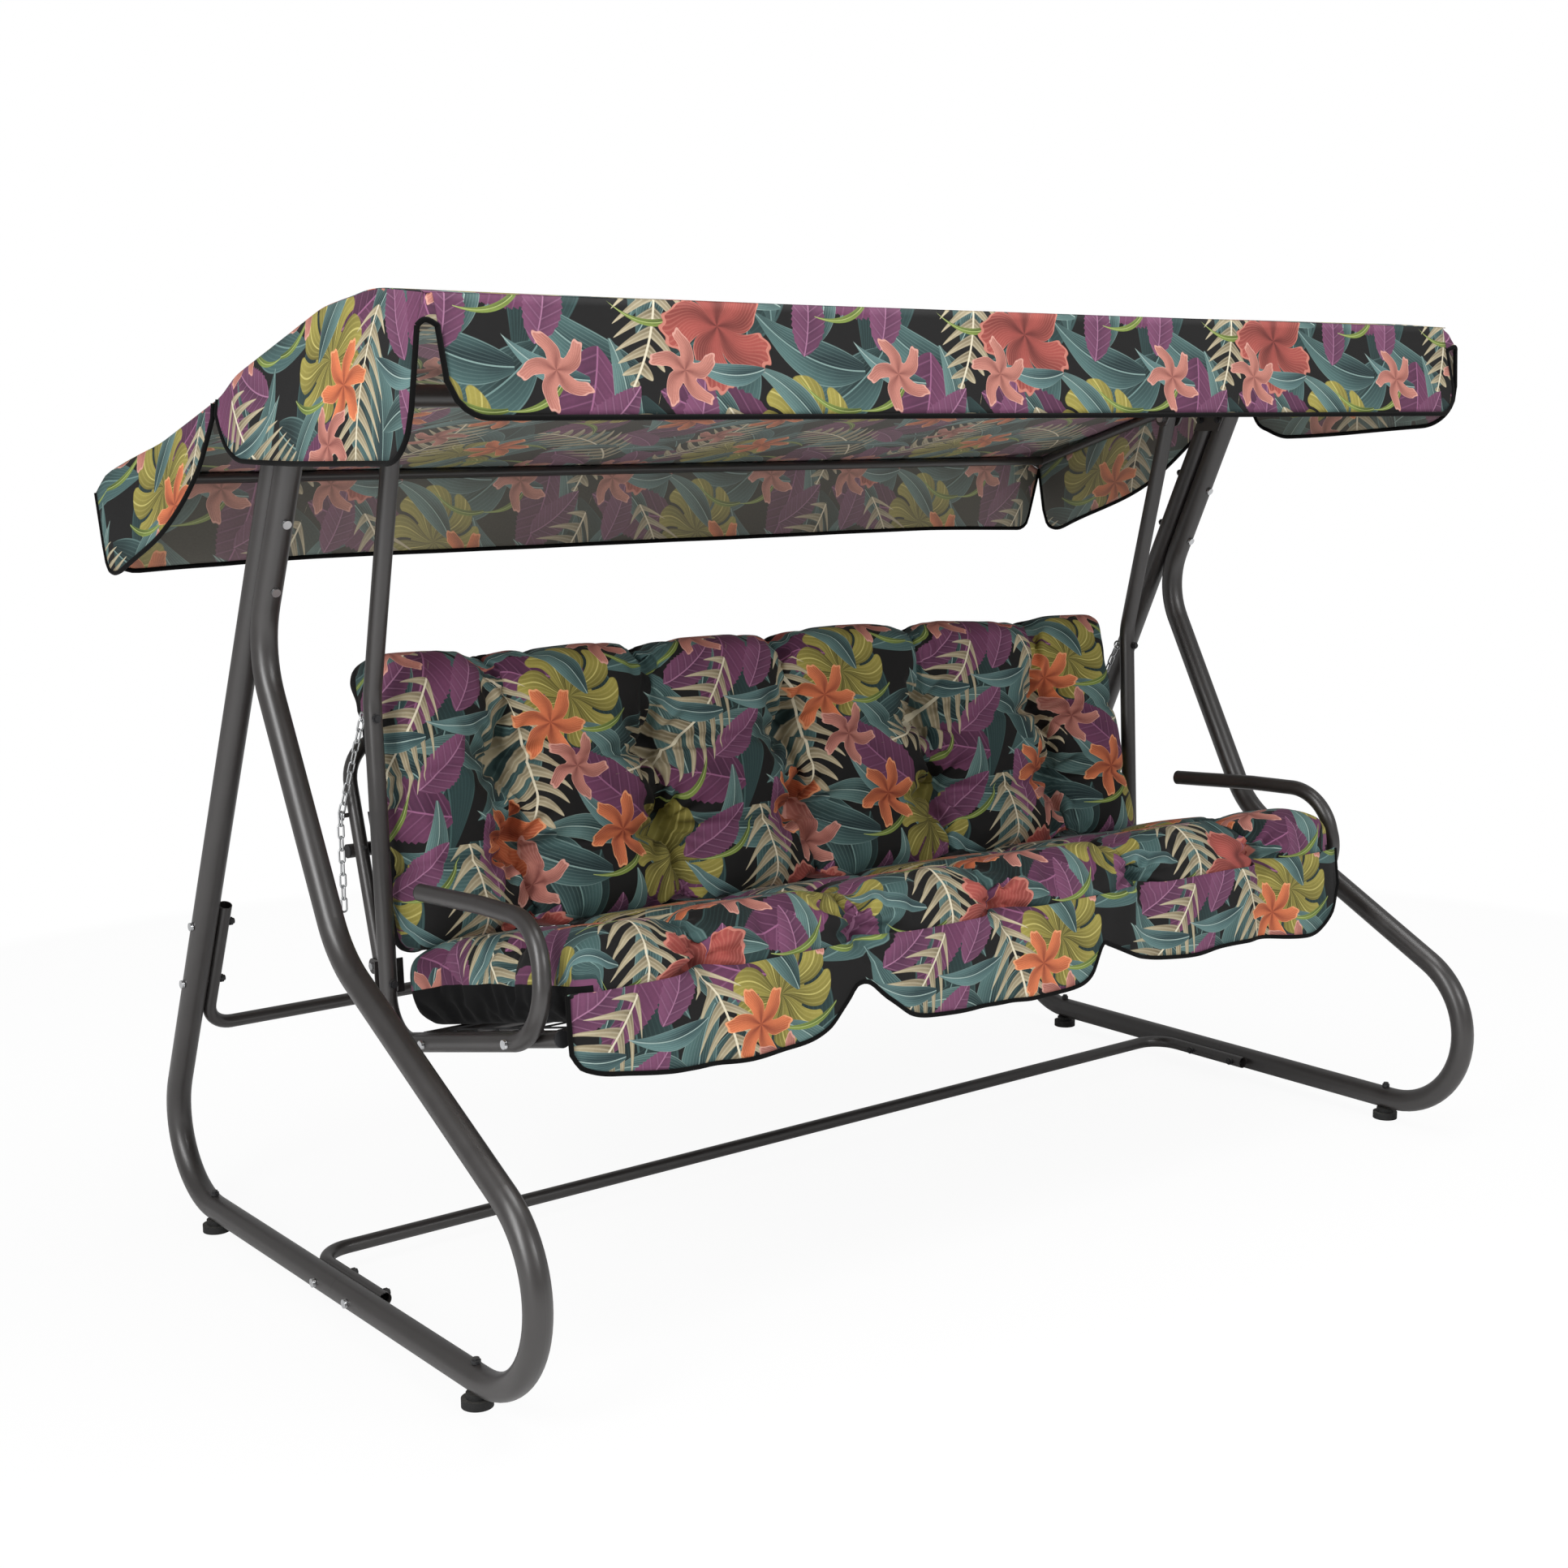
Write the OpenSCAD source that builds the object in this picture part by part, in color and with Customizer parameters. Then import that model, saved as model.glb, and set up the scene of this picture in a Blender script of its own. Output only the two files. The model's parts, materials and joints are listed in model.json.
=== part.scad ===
// Garden swing seat: two leg frames, a seat on hangers, a reclining back held by chains, a tilting canopy.
// Millimetres. X runs along the seat, -Y is the front, +Z is up. The origin is on the ground, in the middle.

/* [Stand] */
// Length of each side frame on the ground
base_len = 1326; // [1200:1:1450]
// Distance between the two side frames, tube middle to tube middle
stand_w = 2210; // [2150:1:2400]
// Height of the cut-off leg tops
leg_top_z = 1538; // [1530:1:1560]
// Outer diameter of the leg tubes
leg_d = 45; // [38:1:50]
// Wall of the leg tubes
leg_wall = 1.8; // [1.2:0.1:3]
// Lean of the rear legs from upright, in degrees
rear_lean = 24.7; // [22:0.1:26]
// Bend radius at the rear of the ground rail
rear_bend_r = 150; // [120:1:170]
// Rise of the front leg's lower half, in degrees
front_rise = 28.24; // [27:0.1:30]
// Rise of the front leg's upper half, in degrees
front_steep = 62.3; // [60:0.1:65]
// Bend radius at the front of the ground rail
front_bend_r = 166; // [140:1:175]
// Length of the front leg's lower half, between its corners
front_low_len = 1219; // [1180:1:1240]
// Bend radius in the middle of the front leg
front_mid_r = 200; // [150:1:250]
// Bend radius where the front leg meets the rear leg
front_top_r = 170; // [120:1:200]
// Height of the upper bolt that ties front and rear leg
tie_z = 1339; // [1300:1:1360]
// Distance between the two tie bolts, along the leg
tie_gap = 123; // [80:1:140]
// Place of the seam in the ground rail
seam_y = -16; // [-60:1:30]
// Distance of the rail bolts from the seam
seam_bolt = 57.5; // [45:0.5:65]
// Length of the sleeve inside the seam
sleeve_len = 220; // [180:1:240]

/* [Cross tubes] */
// Outer diameter of the cross tubes
cross_d = 25; // [20:1:30]
// Wall of the cross tubes
cross_wall = 1.5; // [1:0.1:2.5]
// Place of the ground cross tube
low_cross_y = 157; // [140:1:220]
// Bend radius of the ground cross tube
low_cross_r = 60; // [45:1:70]
// Height of the rear cross tube
rear_cross_z = 367; // [330:1:420]
// Length of the rear cross tube's upturned ends
rear_cross_up = 273; // [240:1:300]
// Bend radius of the rear cross tube
rear_cross_r = 50; // [40:1:60]

/* [Feet] */
// Height of the foot pads
foot_h = 22.5; // [18:0.5:30]
// Diameter of the foot pads
foot_d = 50; // [44:1:60]
// Distance of the front feet from the front of the frame
foot_front_in = 205; // [195:1:230]
// Distance of the rear feet from the rear of the frame
foot_rear_in = 171; // [171:1:230]

/* [Top beam] */
// Outer diameter of the top beam
beam_d = 38; // [32:1:40]
// Wall of the top beam
beam_wall = 2; // [1.5:0.1:3]
// Depth of the beam's middle under the leg tops
beam_drop = 26; // [24:1:40]
// Thickness of the end plates and lugs
plate_t = 5; // [3:0.5:6]
// Height of the end plates
plate_h = 96; // [80:1:120]

/* [Hangers] */
// Distance between the two hangers
hanger_w = 1854; // [1840:1:1900]
// Outer diameter of the hangers
hanger_d = 32; // [30:1:35]
// Wall of the hangers
hanger_wall = 1.8; // [1.2:0.1:2]
// Place of the swing pins
pin_y = 29.7; // [20:0.1:40]
// Height of the swing pins
pin_z = 1470; // [1462:1:1472]
// Diameter of the swing pins
pin_d = 10; // [8:0.5:12]
// Lean of the hangers' upper half from upright, in degrees
hanger_lean = 13.53; // [12:0.01:15]
// Lean of the hangers' lower half from upright, in degrees
hanger_low_lean = 2.35; // [1:0.01:4]
// Height of the bend in the hangers
hanger_bend_z = 1008; // [1000:1:1040]
// Bend radius of the hangers
hanger_bend_r = 150; // [100:1:160]
// Height of the hangers' lower ends
hanger_low_z = 500; // [500:1:510]

/* [Seat] */
// Outer diameter of the seat tubes
rail_d = 28; // [26:0.5:28]
// Wall of the seat tubes
rail_wall = 1.8; // [1.2:0.1:3]
// Rise of the seat towards its front, in degrees
seat_rise = 12.57; // [11:0.01:14]
// Height of the corner between seat rail and hanger
seat_corner_z = 411.8; // [405:0.1:413]
// Length of the seat rails from that corner
seat_len = 568; // [555:1:590]
// Bend radius of the seat rails
seat_bend_r = 66; // [55:1:66]
// Length of the rail inside the hanger
rail_plug_in = 80; // [60:1:120]
// Mesh width of the seat and back nets
net_pitch = 90; // [60:1:120]
// Thickness of the net bars
net_bar = 3; // [2:0.5:5]

/* [Armrests] */
// Outer diameter of the armrest tubes
arm_d = 30; // [25:1:32]
// Wall of the armrest tubes
arm_wall = 1.5; // [1:0.1:2.5]
// Inward lean of the armrests, in degrees
arm_lean = 5.9; // [4:0.1:7]
// Reach of the armrest's front from the seat corner
arm_front = 567; // [560:1:590]
// Height of the armrest's rear tip over its foot
arm_h = 250; // [230:1:270]
// Fall of the armrest's rear half, in degrees
arm_fall = 9; // [7:0.1:10]
// Fall of the armrest's front half, in degrees
arm_front_fall = 11.3; // [11:0.1:13]
// Front bend radius of the armrests
arm_r = 93; // [70:1:94]
// Distance of the armrest's rear tip from the seat corner
arm_tip = 192; // [170:1:230]
// Distance of the armrest foot's rear end from the seat corner
arm_foot = 150; // [130:1:170]

/* [Back] */
// Distance between the back posts, tube middle to tube middle
back_w = 1810; // [1796:1:1812]
// Outer diameter of the back tubes
post_d = 25; // [22:0.5:26]
// Wall of the back tubes
post_wall = 1.5; // [1:0.1:2.5]
// Recline of the back from upright, in degrees
back_lean = 15.9; // [14:0.1:18]
// Height of the back's hinge on the hanger
hinge_z = 532.7; // [530:0.1:540]
// Distance of the hinge pin behind the hanger
hinge_reach = 67; // [62:1:72]
// Diameter of the hinge pins
hinge_d = 8; // [6:0.5:10]
// Length of the back posts over the hinge pin
post_len = 300; // [290:1:310]
// Height of the hoop over the hinge pin, along the back
hoop_u = 402; // [395:1:420]
// Corner radius of the hoop
hoop_r = 80; // [60:1:85]
// Height of the brace over the hinge pin, along the back
brace_u = 208; // [180:1:230]
// Outer diameter of the brace
brace_d = 25; // [20:1:28]

/* [Chains] */
// Wire of the chain links
wire = 3.5; // [3:0.1:3.6]
// Width of the chain links
link_w = 14; // [14:0.5:16]
// Links between hanger and back
run_links = 9; // [9:2:9]
// Spare links that hang down
tail_links = 8; // [4:1:8]
// Height of the chain eye on the hanger
eye_z = 973; // [965:1:980]
// Wire of the chain eyes
eye_wire = 4; // [3.5:0.1:4.5]
// Radius of the chain eyes, at the middle of the wire
eye_r = 8; // [8:0.5:9]
// Distance of the chain's line outside the back posts
chain_out = 25.5; // [25:0.5:27]
// Height of the chain stud over the hinge pin, along the back
stud_u = 270; // [260:1:275]

/* [Cushions] */
// Width of the seat and back cushions
cushion_w = 1810; // [1700:1:1812]
// Length of the seat cushion
seat_cushion_len = 604; // [560:1:610]
// Thickness of the seat cushion
seat_cushion_t = 126; // [90:1:128]
// Height of the back cushion, along the back
back_cushion_len = 522; // [460:1:530]
// Thickness of the back cushion
back_cushion_t = 131; // [90:1:133]
// Edge rounding of the cushions
cushion_r = 42; // [25:1:43]
// Drop of the apron
apron_h = 165; // [140:1:175]
// Width of each of the apron's three panels
apron_panel = 613; // [590:1:620]
// Corner rounding of the apron's panels
apron_r = 72; // [40:1:80]

/* [Canopy] */
// Outer diameter of the canopy tubes
canopy_d = 20; // [18:1:22]
// Wall of the canopy tubes
canopy_wall = 1.2; // [1:0.1:2]
// Place of the canopy's front bar
canopy_front_y = -488; // [-520:1:-450]
// Place of the canopy's ridge
ridge_y = -323; // [-350:1:-290]
// Height of the canopy's ridge
ridge_z = 1648.7; // [1640:0.1:1665]
// Bend radius at the ridge
ridge_r = 400; // [300:1:450]
// Rise of the canopy from the front bar to the ridge, in degrees
front_slope = 5.7; // [3:0.1:8]
// Fall of the canopy towards the rear, in degrees
rear_slope = 16.2; // [15.5:0.1:16.6]
// Place of the canopy's rear bar
canopy_rear_y = 622; // [600:1:630]
// Height of the pivot that the canopy tilts on
tilt_z = 1526; // [1518:1:1527]
// Thickness of the canopy cloth
cloth_t = 3; // [2:0.5:4]
// Drop of the front valance
front_drop = 176; // [150:1:200]
// Forward lean of the front valance, in degrees
front_lean = 15.5; // [5:0.1:20]
// Drop of the side flaps
side_drop = 180; // [150:1:200]
// Drop of the rear valance
rear_drop = 160; // [140:1:180]
// Height of the front side flaps' hem
side_hem_z = 1411; // [1400:1:1430]
// Gap between the left flaps
left_notch_y = 207; // [180:1:230]
// Gap between the right flaps
right_notch_y = 27; // [10:1:60]
// Corner rounding of the valances
valance_r = 60; // [30:1:80]

/* [Fasteners] */
// Diameter of the bolts
bolt_d = 8; // [6:0.5:8]
// Diameter of the bolt heads
head_d = 15; // [13:0.5:16]
// Height of the bolt heads
head_h = 5; // [4:0.5:6]
// Diameter of the cap nuts
cap_d = 15; // [13:0.5:17]
// Height of the cap nuts
cap_h = 9; // [6:0.5:12]
// Diameter of the tilt knobs
knob_d = 30; // [24:1:32]

/* [Hidden] */
$fn = 48;

FRAME = "#3c3a39";
ZINC = "#b9bcbf";
BLACK = "#1b1b1c";
PRINT = "#3f5a58";

gap = 0.3; // space between pieces that touch
hole_play = 0.25; // radial play of a bolt in its hole
pin_play = 0.075; // radial play of a pin that turns
weld = 0.5; // depth of a welded joint
step = 0.1; // a straight tube is this much slimmer than its bends
lap = 1.5; // a straight tube reaches this far into its bends
flank = 0.5; // a plate is this much narrower per side than its rounded end
net_clear = 6; // space between a net's edge wire and the tubes beside it
net_start = 40; // height up the back where its net begins
spring_reach = 28; // the seat net ends this far inside the seat rails, and springs bridge it
spring_d = 8;
spring_count = 6;
lug_rim = 12; // width of a pin's lug round its hole
cheek_rim = 1.5; // width of a hinge cheek round the post
pin_cover = 16; // the hanger reaches this far over its pin
arm_bend_r = 300; // wide bend in the top of the armrest
arm_knee_share = 0.69; // where that bend lies along the armrest
plug_rim = 3; // thickness of an end plug's head
plug_in = 12; // depth of an end plug inside its tube
nut_share = 0.6; // part of a cap nut's height that its collar takes
dome_share = 0.7; // diameter of its dome over that of the collar
tab_r = 13; // round end of a canopy tab
tab_t = 3;
flap_corner = 75; // rounding of the front flap's lower front corner
notch_curve = [[115, 0], [60, 18], [25, 45]]; // front flap's hem before the notch: distance, height

stand_x = stand_w / 2;
hanger_x = hanger_w / 2;
post_x = back_w / 2;
leg_r = leg_d / 2;
post_r = post_d / 2;
bolt_hole = bolt_d + 2 * hole_play;
pin_hole = pin_d + 2 * pin_play;
hinge_hole = hinge_d + 2 * pin_play;
tilt_hole = bolt_d + 2 * pin_play;

// A side view is drawn with its first number along Y and its second along Z.
function dir(a) = [cos(a), sin(a)];
function cross2(u, v) = u[0] * v[1] - u[1] * v[0];
function meet(p, a, q, b) = p + dir(a) * cross2(q - p, dir(b)) / cross2(dir(a), dir(b));
function turn(a, b, c) = atan2(cross2(b - a, c - b), (b - a) * (c - b));
function setback(p, r, i) =
    i == 0 || i == len(p) - 1 ? 0 : r[i - 1] * tan(abs(turn(p[i - 1], p[i], p[i + 1])) / 2);

// Side frame
rail_z = foot_h + leg_r;
rear_dir = 90 + rear_lean;
rear_corner = [base_len / 2 - leg_r + rear_bend_r * (1 / tan(45 - rear_lean / 2) - 1), rail_z];
function rear_leg_y(z) = rear_corner[0] - (z - rail_z) * tan(rear_lean);
leg_pitch = leg_d + gap;
function front_leg_y(z) = rear_leg_y(z) - leg_pitch / cos(rear_lean);
front_corner = [-base_len / 2 + leg_r - front_bend_r * (1 / tan(front_rise / 2) - 1), rail_z];
front_mid = front_corner + front_low_len * dir(front_rise);
front_join = meet(front_mid, front_steep, [front_leg_y(0), 0], rear_dir);
leg_over = leg_top_z + leg_r;
tie_low_z = tie_z - tie_gap * cos(rear_lean);
flange_bolt_z = leg_top_z - 0.75 * plate_h;
foot_front_y = -base_len / 2 + foot_front_in;
foot_rear_y = base_len / 2 - foot_rear_in;
cross_x = stand_x - leg_r - cross_d / 2 - gap;
cross_bolt_up = [0.39, 0.86] * rear_cross_up;
beam_z = leg_top_z - beam_drop;
beam_y = front_leg_y(beam_z) + 4;
flange_x = stand_x - leg_r - gap;

// Hanger
hanger_top = [pin_y, pin_z] + pin_cover * dir(90 + hanger_lean);
hanger_bend = [pin_y + (pin_z - hanger_bend_z) * tan(hanger_lean), hanger_bend_z];
function hanger_y(z) = hanger_bend[0] - (hanger_bend_z - z) * tan(hanger_low_lean);
low_dir = 90 - hanger_low_lean;
hanger_low = [hanger_y(hanger_low_z), hanger_low_z];
lug_gap = 1; // space each side of the hanger inside its lugs

// Seat: s runs forward along the seat rail, n stands square on the seat
seat_corner = [hanger_y(seat_corner_z), seat_corner_z];
seat_dir = 180 - seat_rise;
rail_up = seat_corner + (hanger_low_z + rail_plug_in - seat_corner_z) / sin(low_dir) * dir(low_dir);
plug_bolt_z = hanger_low_z + 15;
front_bar_s = seat_len - rail_d / 2 - 2;
rear_bar_s = 112;
net_n = rail_d / 2 - net_bar - 1.5;
arm_x = hanger_x + rail_d / 2 + arm_d / 2 + gap;
arm_bolt_s = [arm_foot + 47, arm_front - arm_r - 2];
seat_cushion_n = rail_d / 2 + gap;
seat_cushion_s = 14;

// Armrest outline in the plane of s and the leaning upright
arm_knee = [arm_knee_share * arm_front, arm_h - (arm_knee_share * arm_front - arm_tip) * tan(arm_fall)];
arm_head = meet(arm_knee, -arm_front_fall, [arm_front, 0], 90);

// Back: u runs up along the posts, f points to the front
hinge_foot = [hanger_y(hinge_z), hinge_z];
hinge = hinge_foot + hinge_reach * dir(-hanger_low_lean);
back_up = dir(90 - back_lean);
back_fore = dir(180 - back_lean);
cheek_gap = 1; // space each side of the post inside its cheeks
cheek_t = 3;
cheek_in = post_x - post_r - cheek_gap - cheek_t;
cheek_out = post_x + post_r + cheek_gap;
back_cushion_f = post_r + 1.8;
back_cushion_u = 8;
brace_f = -post_r - brace_d / 2 - gap;
brace_end = post_x + post_r + 0.5;
stud_f = -7;

// Chain: pulled straight from the eye on the hanger to the stud on the back
chain_x = post_x + chain_out;
link_play = 0.1;
eye = [hanger_y(eye_z) + hanger_d / 2 + 6 + eye_r + eye_wire / 2, eye_z];
stud = hinge + stud_u * back_up + stud_f * back_fore;
ring_wire = 3;
eye_seat = eye_r - eye_wire / 2 - wire / 2 - link_play;
link_lap = wire + link_play;
shared_seat = (link_w - wire) / 2 - 0.6; // how far over the last link's wire its two neighbours pass
ring_seat = eye_r - shared_seat;
link_c = (norm(stud - eye) - eye_seat - ring_seat + (run_links - 1) * link_lap) / run_links;
chain_pitch = link_c - link_lap;
run_dir = (stud - eye) / norm(stud - eye);
run_lean = atan2(run_dir[0], -run_dir[1]);
junction = stud - ring_seat * run_dir;
ring_x = chain_x - (wire + link_play) / 2;
tail_x = chain_x + (ring_wire + link_play) / 2;
stud_end = tail_x - link_w / 2 - gap;

// Canopy
canopy_x = stand_x + leg_r + 3.5 + canopy_d / 2;
ridge = [ridge_y, ridge_z];
function canopy_z(y) = y < ridge_y ? ridge_z + (y - ridge_y) * tan(front_slope)
    : ridge_z - (y - ridge_y) * tan(rear_slope);
tube_past = 0.35 * canopy_d;
canopy_line = [[canopy_front_y - tube_past, canopy_z(canopy_front_y - tube_past)], ridge,
    [canopy_rear_y + tube_past, canopy_z(canopy_rear_y + tube_past)]];
tilt = [rear_leg_y(tilt_z), tilt_z];
cloth_in = canopy_d / 2 + gap;
cloth_x = canopy_x + canopy_d / 2 + 2;
ridge_center = ridge - ridge_r / cos((front_slope + rear_slope) / 2)
    * dir(90 + (front_slope - rear_slope) / 2);
// Canopy outline at a distance over the tubes' middle line, from the front to the rear
function roof_line(over) = concat(
    [[canopy_front_y - cloth_in, canopy_z(canopy_front_y) + over]],
    [for (i = [0 : 10]) ridge_center
        + (ridge_r + over) * dir(90 + front_slope - (front_slope + rear_slope) * i / 10)],
    [[canopy_rear_y + cloth_in, canopy_z(canopy_rear_y + cloth_in) + over / cos(rear_slope)]]);
function reverse(v) = [for (i = [len(v) - 1 : -1 : 0]) v[i]];

// Placing
module both_sides() {
    children();
    mirror([1, 0, 0]) children();
}
// Draws a side view at the place x, with its third number running outwards along X
module side(x) translate([x, 0, 0]) rotate([90, 0, 90]) children();
module seat_side(x)
    side(x) translate(seat_corner) rotate([0, 0, seat_dir]) mirror([0, 1, 0]) children();
module on_seat()
    translate([0, seat_corner[0], seat_corner[1]]) rotate([-seat_rise, 0, 0]) mirror([0, 1, 0]) children();
module on_back() translate([0, hinge[0], hinge[1]]) rotate([90 - back_lean, 0, 0]) children();
// Points the third number along X, or along a direction in the side view
module along_x(x, p) translate([x, p[0], p[1]]) rotate([0, 90, 0]) children();
module along_side(x, p, a) translate([x, p[0], p[1]]) rotate([a - 90, 0, 0]) children();

// Shapes
module ring(d, wall) difference() {
    circle(d = d);
    circle(d = d - 2 * wall);
}
module pipe(d, wall, len) linear_extrude(len) ring(d, wall);
// Tube along the corner points p, with the bend radius r at each inner corner
module bent_tube(p, r, d, wall) {
    last = len(p) - 2;
    for (i = [0 : last]) {
        run = p[i + 1] - p[i];
        before = i > 0 ? lap : 0;
        after = i < last ? lap : 0;
        straight = norm(run) - setback(p, r, i) - setback(p, r, i + 1);
        translate(p[i]) rotate([0, 90, atan2(run[1], run[0])])
            translate([0, 0, setback(p, r, i) - before])
                pipe(d - 2 * step, wall - 2 * step, straight + before + after);
    }
    for (i = [1 : last]) {
        a = turn(p[i - 1], p[i], p[i + 1]);
        into = p[i] - p[i - 1];
        translate(p[i]) rotate([0, 0, atan2(into[1], into[0])])
            translate([-setback(p, r, i), sign(a) * r[i - 1], 0])
                rotate([0, 0, a > 0 ? -90 : 90 + a])
                    rotate_extrude(angle = abs(a)) translate([r[i - 1], 0]) ring(d, wall);
    }
}
module bar(d, len) cylinder(d = d, h = len, center = true);
module bolt(d, grip) {
    cylinder(d = d, h = grip);
    translate([0, 0, -head_h]) cylinder(d = head_d, h = head_h);
}
module cap_nut() {
    cylinder(d = cap_d, h = nut_share * cap_h);
    translate([0, 0, nut_share * cap_h]) cylinder(d = dome_share * cap_d, h = (1 - nut_share) * cap_h);
}
module plug(d, wall) {
    cylinder(d = d, h = plug_rim);
    translate([0, 0, -plug_in]) cylinder(d = d - 2 * wall - 2 * gap, h = plug_in + weld);
}
module rounded(size, r) {
    for (x = [r, size[0] - r], y = [r, size[1] - r]) translate([x, y]) circle(r);
    translate([r, 0]) square([size[0] - 2 * r, size[1]]);
    translate([0, r]) square([size[0], size[1] - 2 * r]);
}
// A sheet that hangs from its straight top edge at y = 0, with rounded lower corners
module hanging_panel(w, h, r) {
    translate([-w / 2 + r, -h]) square([w - 2 * r, h]);
    translate([-w / 2, -h + r]) square([w, h - r]);
    intersection() {
        for (side = [-1, 1]) translate([side * (w / 2 - r), -h + r]) circle(r);
        translate([-w, -2 * h]) square([2 * w, 2 * h]);
    }
}
module grille(w, l) {
    across = floor(w / net_pitch);
    down = floor(l / net_pitch);
    cell = [(w - net_bar) / across, (l - net_bar) / down];
    difference() {
        square([w, l]);
        for (i = [0 : across - 1], j = [0 : down - 1])
            translate([net_bar + i * cell[0], net_bar + j * cell[1]])
                square([cell[0] - net_bar, cell[1] - net_bar]);
    }
}

// Stand
module leg_front() color(FRAME) difference() {
    side(stand_x) bent_tube([[seam_y - gap / 2, rail_z], front_corner, front_mid, front_join,
        [front_leg_y(leg_over), leg_over]], [front_bend_r, front_mid_r, front_top_r], leg_d, leg_wall);
    leg_top_cut();
    along_x(stand_x, [seam_y - seam_bolt, rail_z]) bar(bolt_hole, 2 * leg_d);
    along_x(stand_x, [front_leg_y(flange_bolt_z), flange_bolt_z]) bar(bolt_hole, 2 * leg_d);
    tie_bolt_places() bar(bolt_hole, 4 * leg_d);
    translate([stand_x, foot_front_y, rail_z]) bar(bolt_hole, 2 * leg_d);
}
module leg_rear() color(FRAME) difference() {
    side(stand_x) bent_tube([[seam_y + gap / 2, rail_z], rear_corner, [rear_leg_y(leg_over), leg_over]],
        [rear_bend_r], leg_d, leg_wall);
    leg_top_cut();
    along_x(stand_x, [seam_y + seam_bolt, rail_z]) bar(bolt_hole, 2 * leg_d);
    along_x(stand_x, [rear_leg_y(flange_bolt_z), flange_bolt_z]) bar(bolt_hole, 2 * leg_d);
    along_x(stand_x, tilt) bar(tilt_hole, 2 * leg_d);
    rear_cross_bolt_places(stand_x) bar(bolt_hole, 2 * leg_d);
    tie_bolt_places() bar(bolt_hole, 4 * leg_d);
    translate([stand_x, foot_rear_y, rail_z]) bar(bolt_hole, 2 * leg_d);
}
module leg_top_cut()
    translate([stand_x - leg_d, -4 * leg_d, leg_top_z]) cube([2 * leg_d, 8 * leg_d, 2 * leg_d]);
module tie_bolt_places()
    for (z = [tie_z, tie_low_z]) along_side(stand_x, [rear_leg_y(z), z], rear_lean) children();
module rear_cross_bolt_places(x)
    for (up = cross_bolt_up)
        along_x(x, [rear_leg_y(rear_cross_z), rear_cross_z] + up * dir(rear_dir)) children();
module rail_bolt_places(x)
    for (way = [-1, 1]) along_x(x, [seam_y + way * seam_bolt, rail_z]) children();

module rail_sleeves() color(ZINC) both_sides() difference() {
    translate([stand_x, seam_y, rail_z]) rotate([90, 0, 0]) difference() {
        bar(leg_d - 2 * leg_wall - gap, sleeve_len);
        bar(leg_d - 4 * leg_wall - gap, 2 * sleeve_len);
    }
    rail_bolt_places(stand_x) bar(bolt_hole, 2 * leg_d);
}
module cross_tube_low() color(FRAME) difference() {
    end_y = seam_y - seam_bolt - 26;
    translate([0, 0, rail_z]) bent_tube([[-cross_x, end_y], [-cross_x, low_cross_y],
        [cross_x, low_cross_y], [cross_x, end_y]], [low_cross_r, low_cross_r], cross_d, cross_wall);
    both_sides() rail_bolt_places(cross_x) bar(bolt_hole, 2 * cross_d);
}
module cross_tube_rear() color(FRAME) difference() {
    translate([0, rear_leg_y(rear_cross_z), rear_cross_z]) rotate([90 + rear_lean, 0, 0])
        bent_tube([[-cross_x, rear_cross_up], [-cross_x, 0], [cross_x, 0], [cross_x, rear_cross_up]],
            [rear_cross_r, rear_cross_r], cross_d, cross_wall);
    both_sides() rear_cross_bolt_places(cross_x) bar(bolt_hole, 2 * cross_d);
}
// Plate in side view between the two legs
module flange_outline() {
    low = leg_top_z - plate_h;
    top = leg_top_z - 4;
    edge = 9;
    polygon([[front_leg_y(top) - edge, top], [rear_leg_y(top) + edge, top],
        [rear_leg_y(low) + edge, low], [front_leg_y(low) - edge, low]]);
}
module lug_outline() {
    reach = [beam_y - pin_y, beam_z - pin_z];
    lug_r = pin_d / 2 + lug_rim;
    translate([pin_y, pin_z]) {
        circle(lug_r);
        rotate([0, 0, atan2(reach[1], reach[0])]) translate([0, flank - lug_r])
            square([norm(reach), 2 * (lug_r - flank)]);
    }
}
module top_beam() color(FRAME) {
    difference() {
        translate([0, beam_y, beam_z]) rotate([0, 90, 0]) bar(beam_d, 2 * (flange_x - plate_t + weld));
        translate([0, beam_y, beam_z]) rotate([0, 90, 0])
            bar(beam_d - 2 * beam_wall, 2 * (flange_x - plate_t));
    }
    both_sides() {
        side(flange_x - plate_t) linear_extrude(plate_t) difference() {
            flange_outline();
            translate([front_leg_y(flange_bolt_z), flange_bolt_z]) circle(d = bolt_hole);
            translate([rear_leg_y(flange_bolt_z), flange_bolt_z]) circle(d = bolt_hole);
            translate(tilt) circle(d = tilt_hole);
        }
        for (x = [hanger_x - hanger_d / 2 - lug_gap - plate_t, hanger_x + hanger_d / 2 + lug_gap])
            side(x) linear_extrude(plate_t) difference() {
                lug_outline();
                translate([pin_y, pin_z]) circle(d = pin_hole);
                translate([beam_y, beam_z]) circle(d = beam_d - 2 * weld);
            }
    }
}
module swing_pins() color(ZINC) both_sides() {
    half = hanger_d / 2 + lug_gap + plate_t + gap;
    along_x(hanger_x, [pin_y, pin_z]) {
        bar(pin_d, 2 * half);
        for (end = [0, 1]) mirror([0, 0, end]) translate([0, 0, half]) cylinder(d = 1.7 * pin_d, h = 6);
    }
}
module foot(y) color(BLACK) translate([stand_x, y, 0]) difference() {
    union() {
        cylinder(d = foot_d, h = 0.6 * foot_h);
        cylinder(d = 0.7 * foot_d, h = foot_h - gap / 2);
    }
    bar(bolt_hole, 3 * foot_h);
    translate([0, 0, -1]) cylinder(d = head_d + 2, h = 0.45 * foot_h + 1);
}
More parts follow.
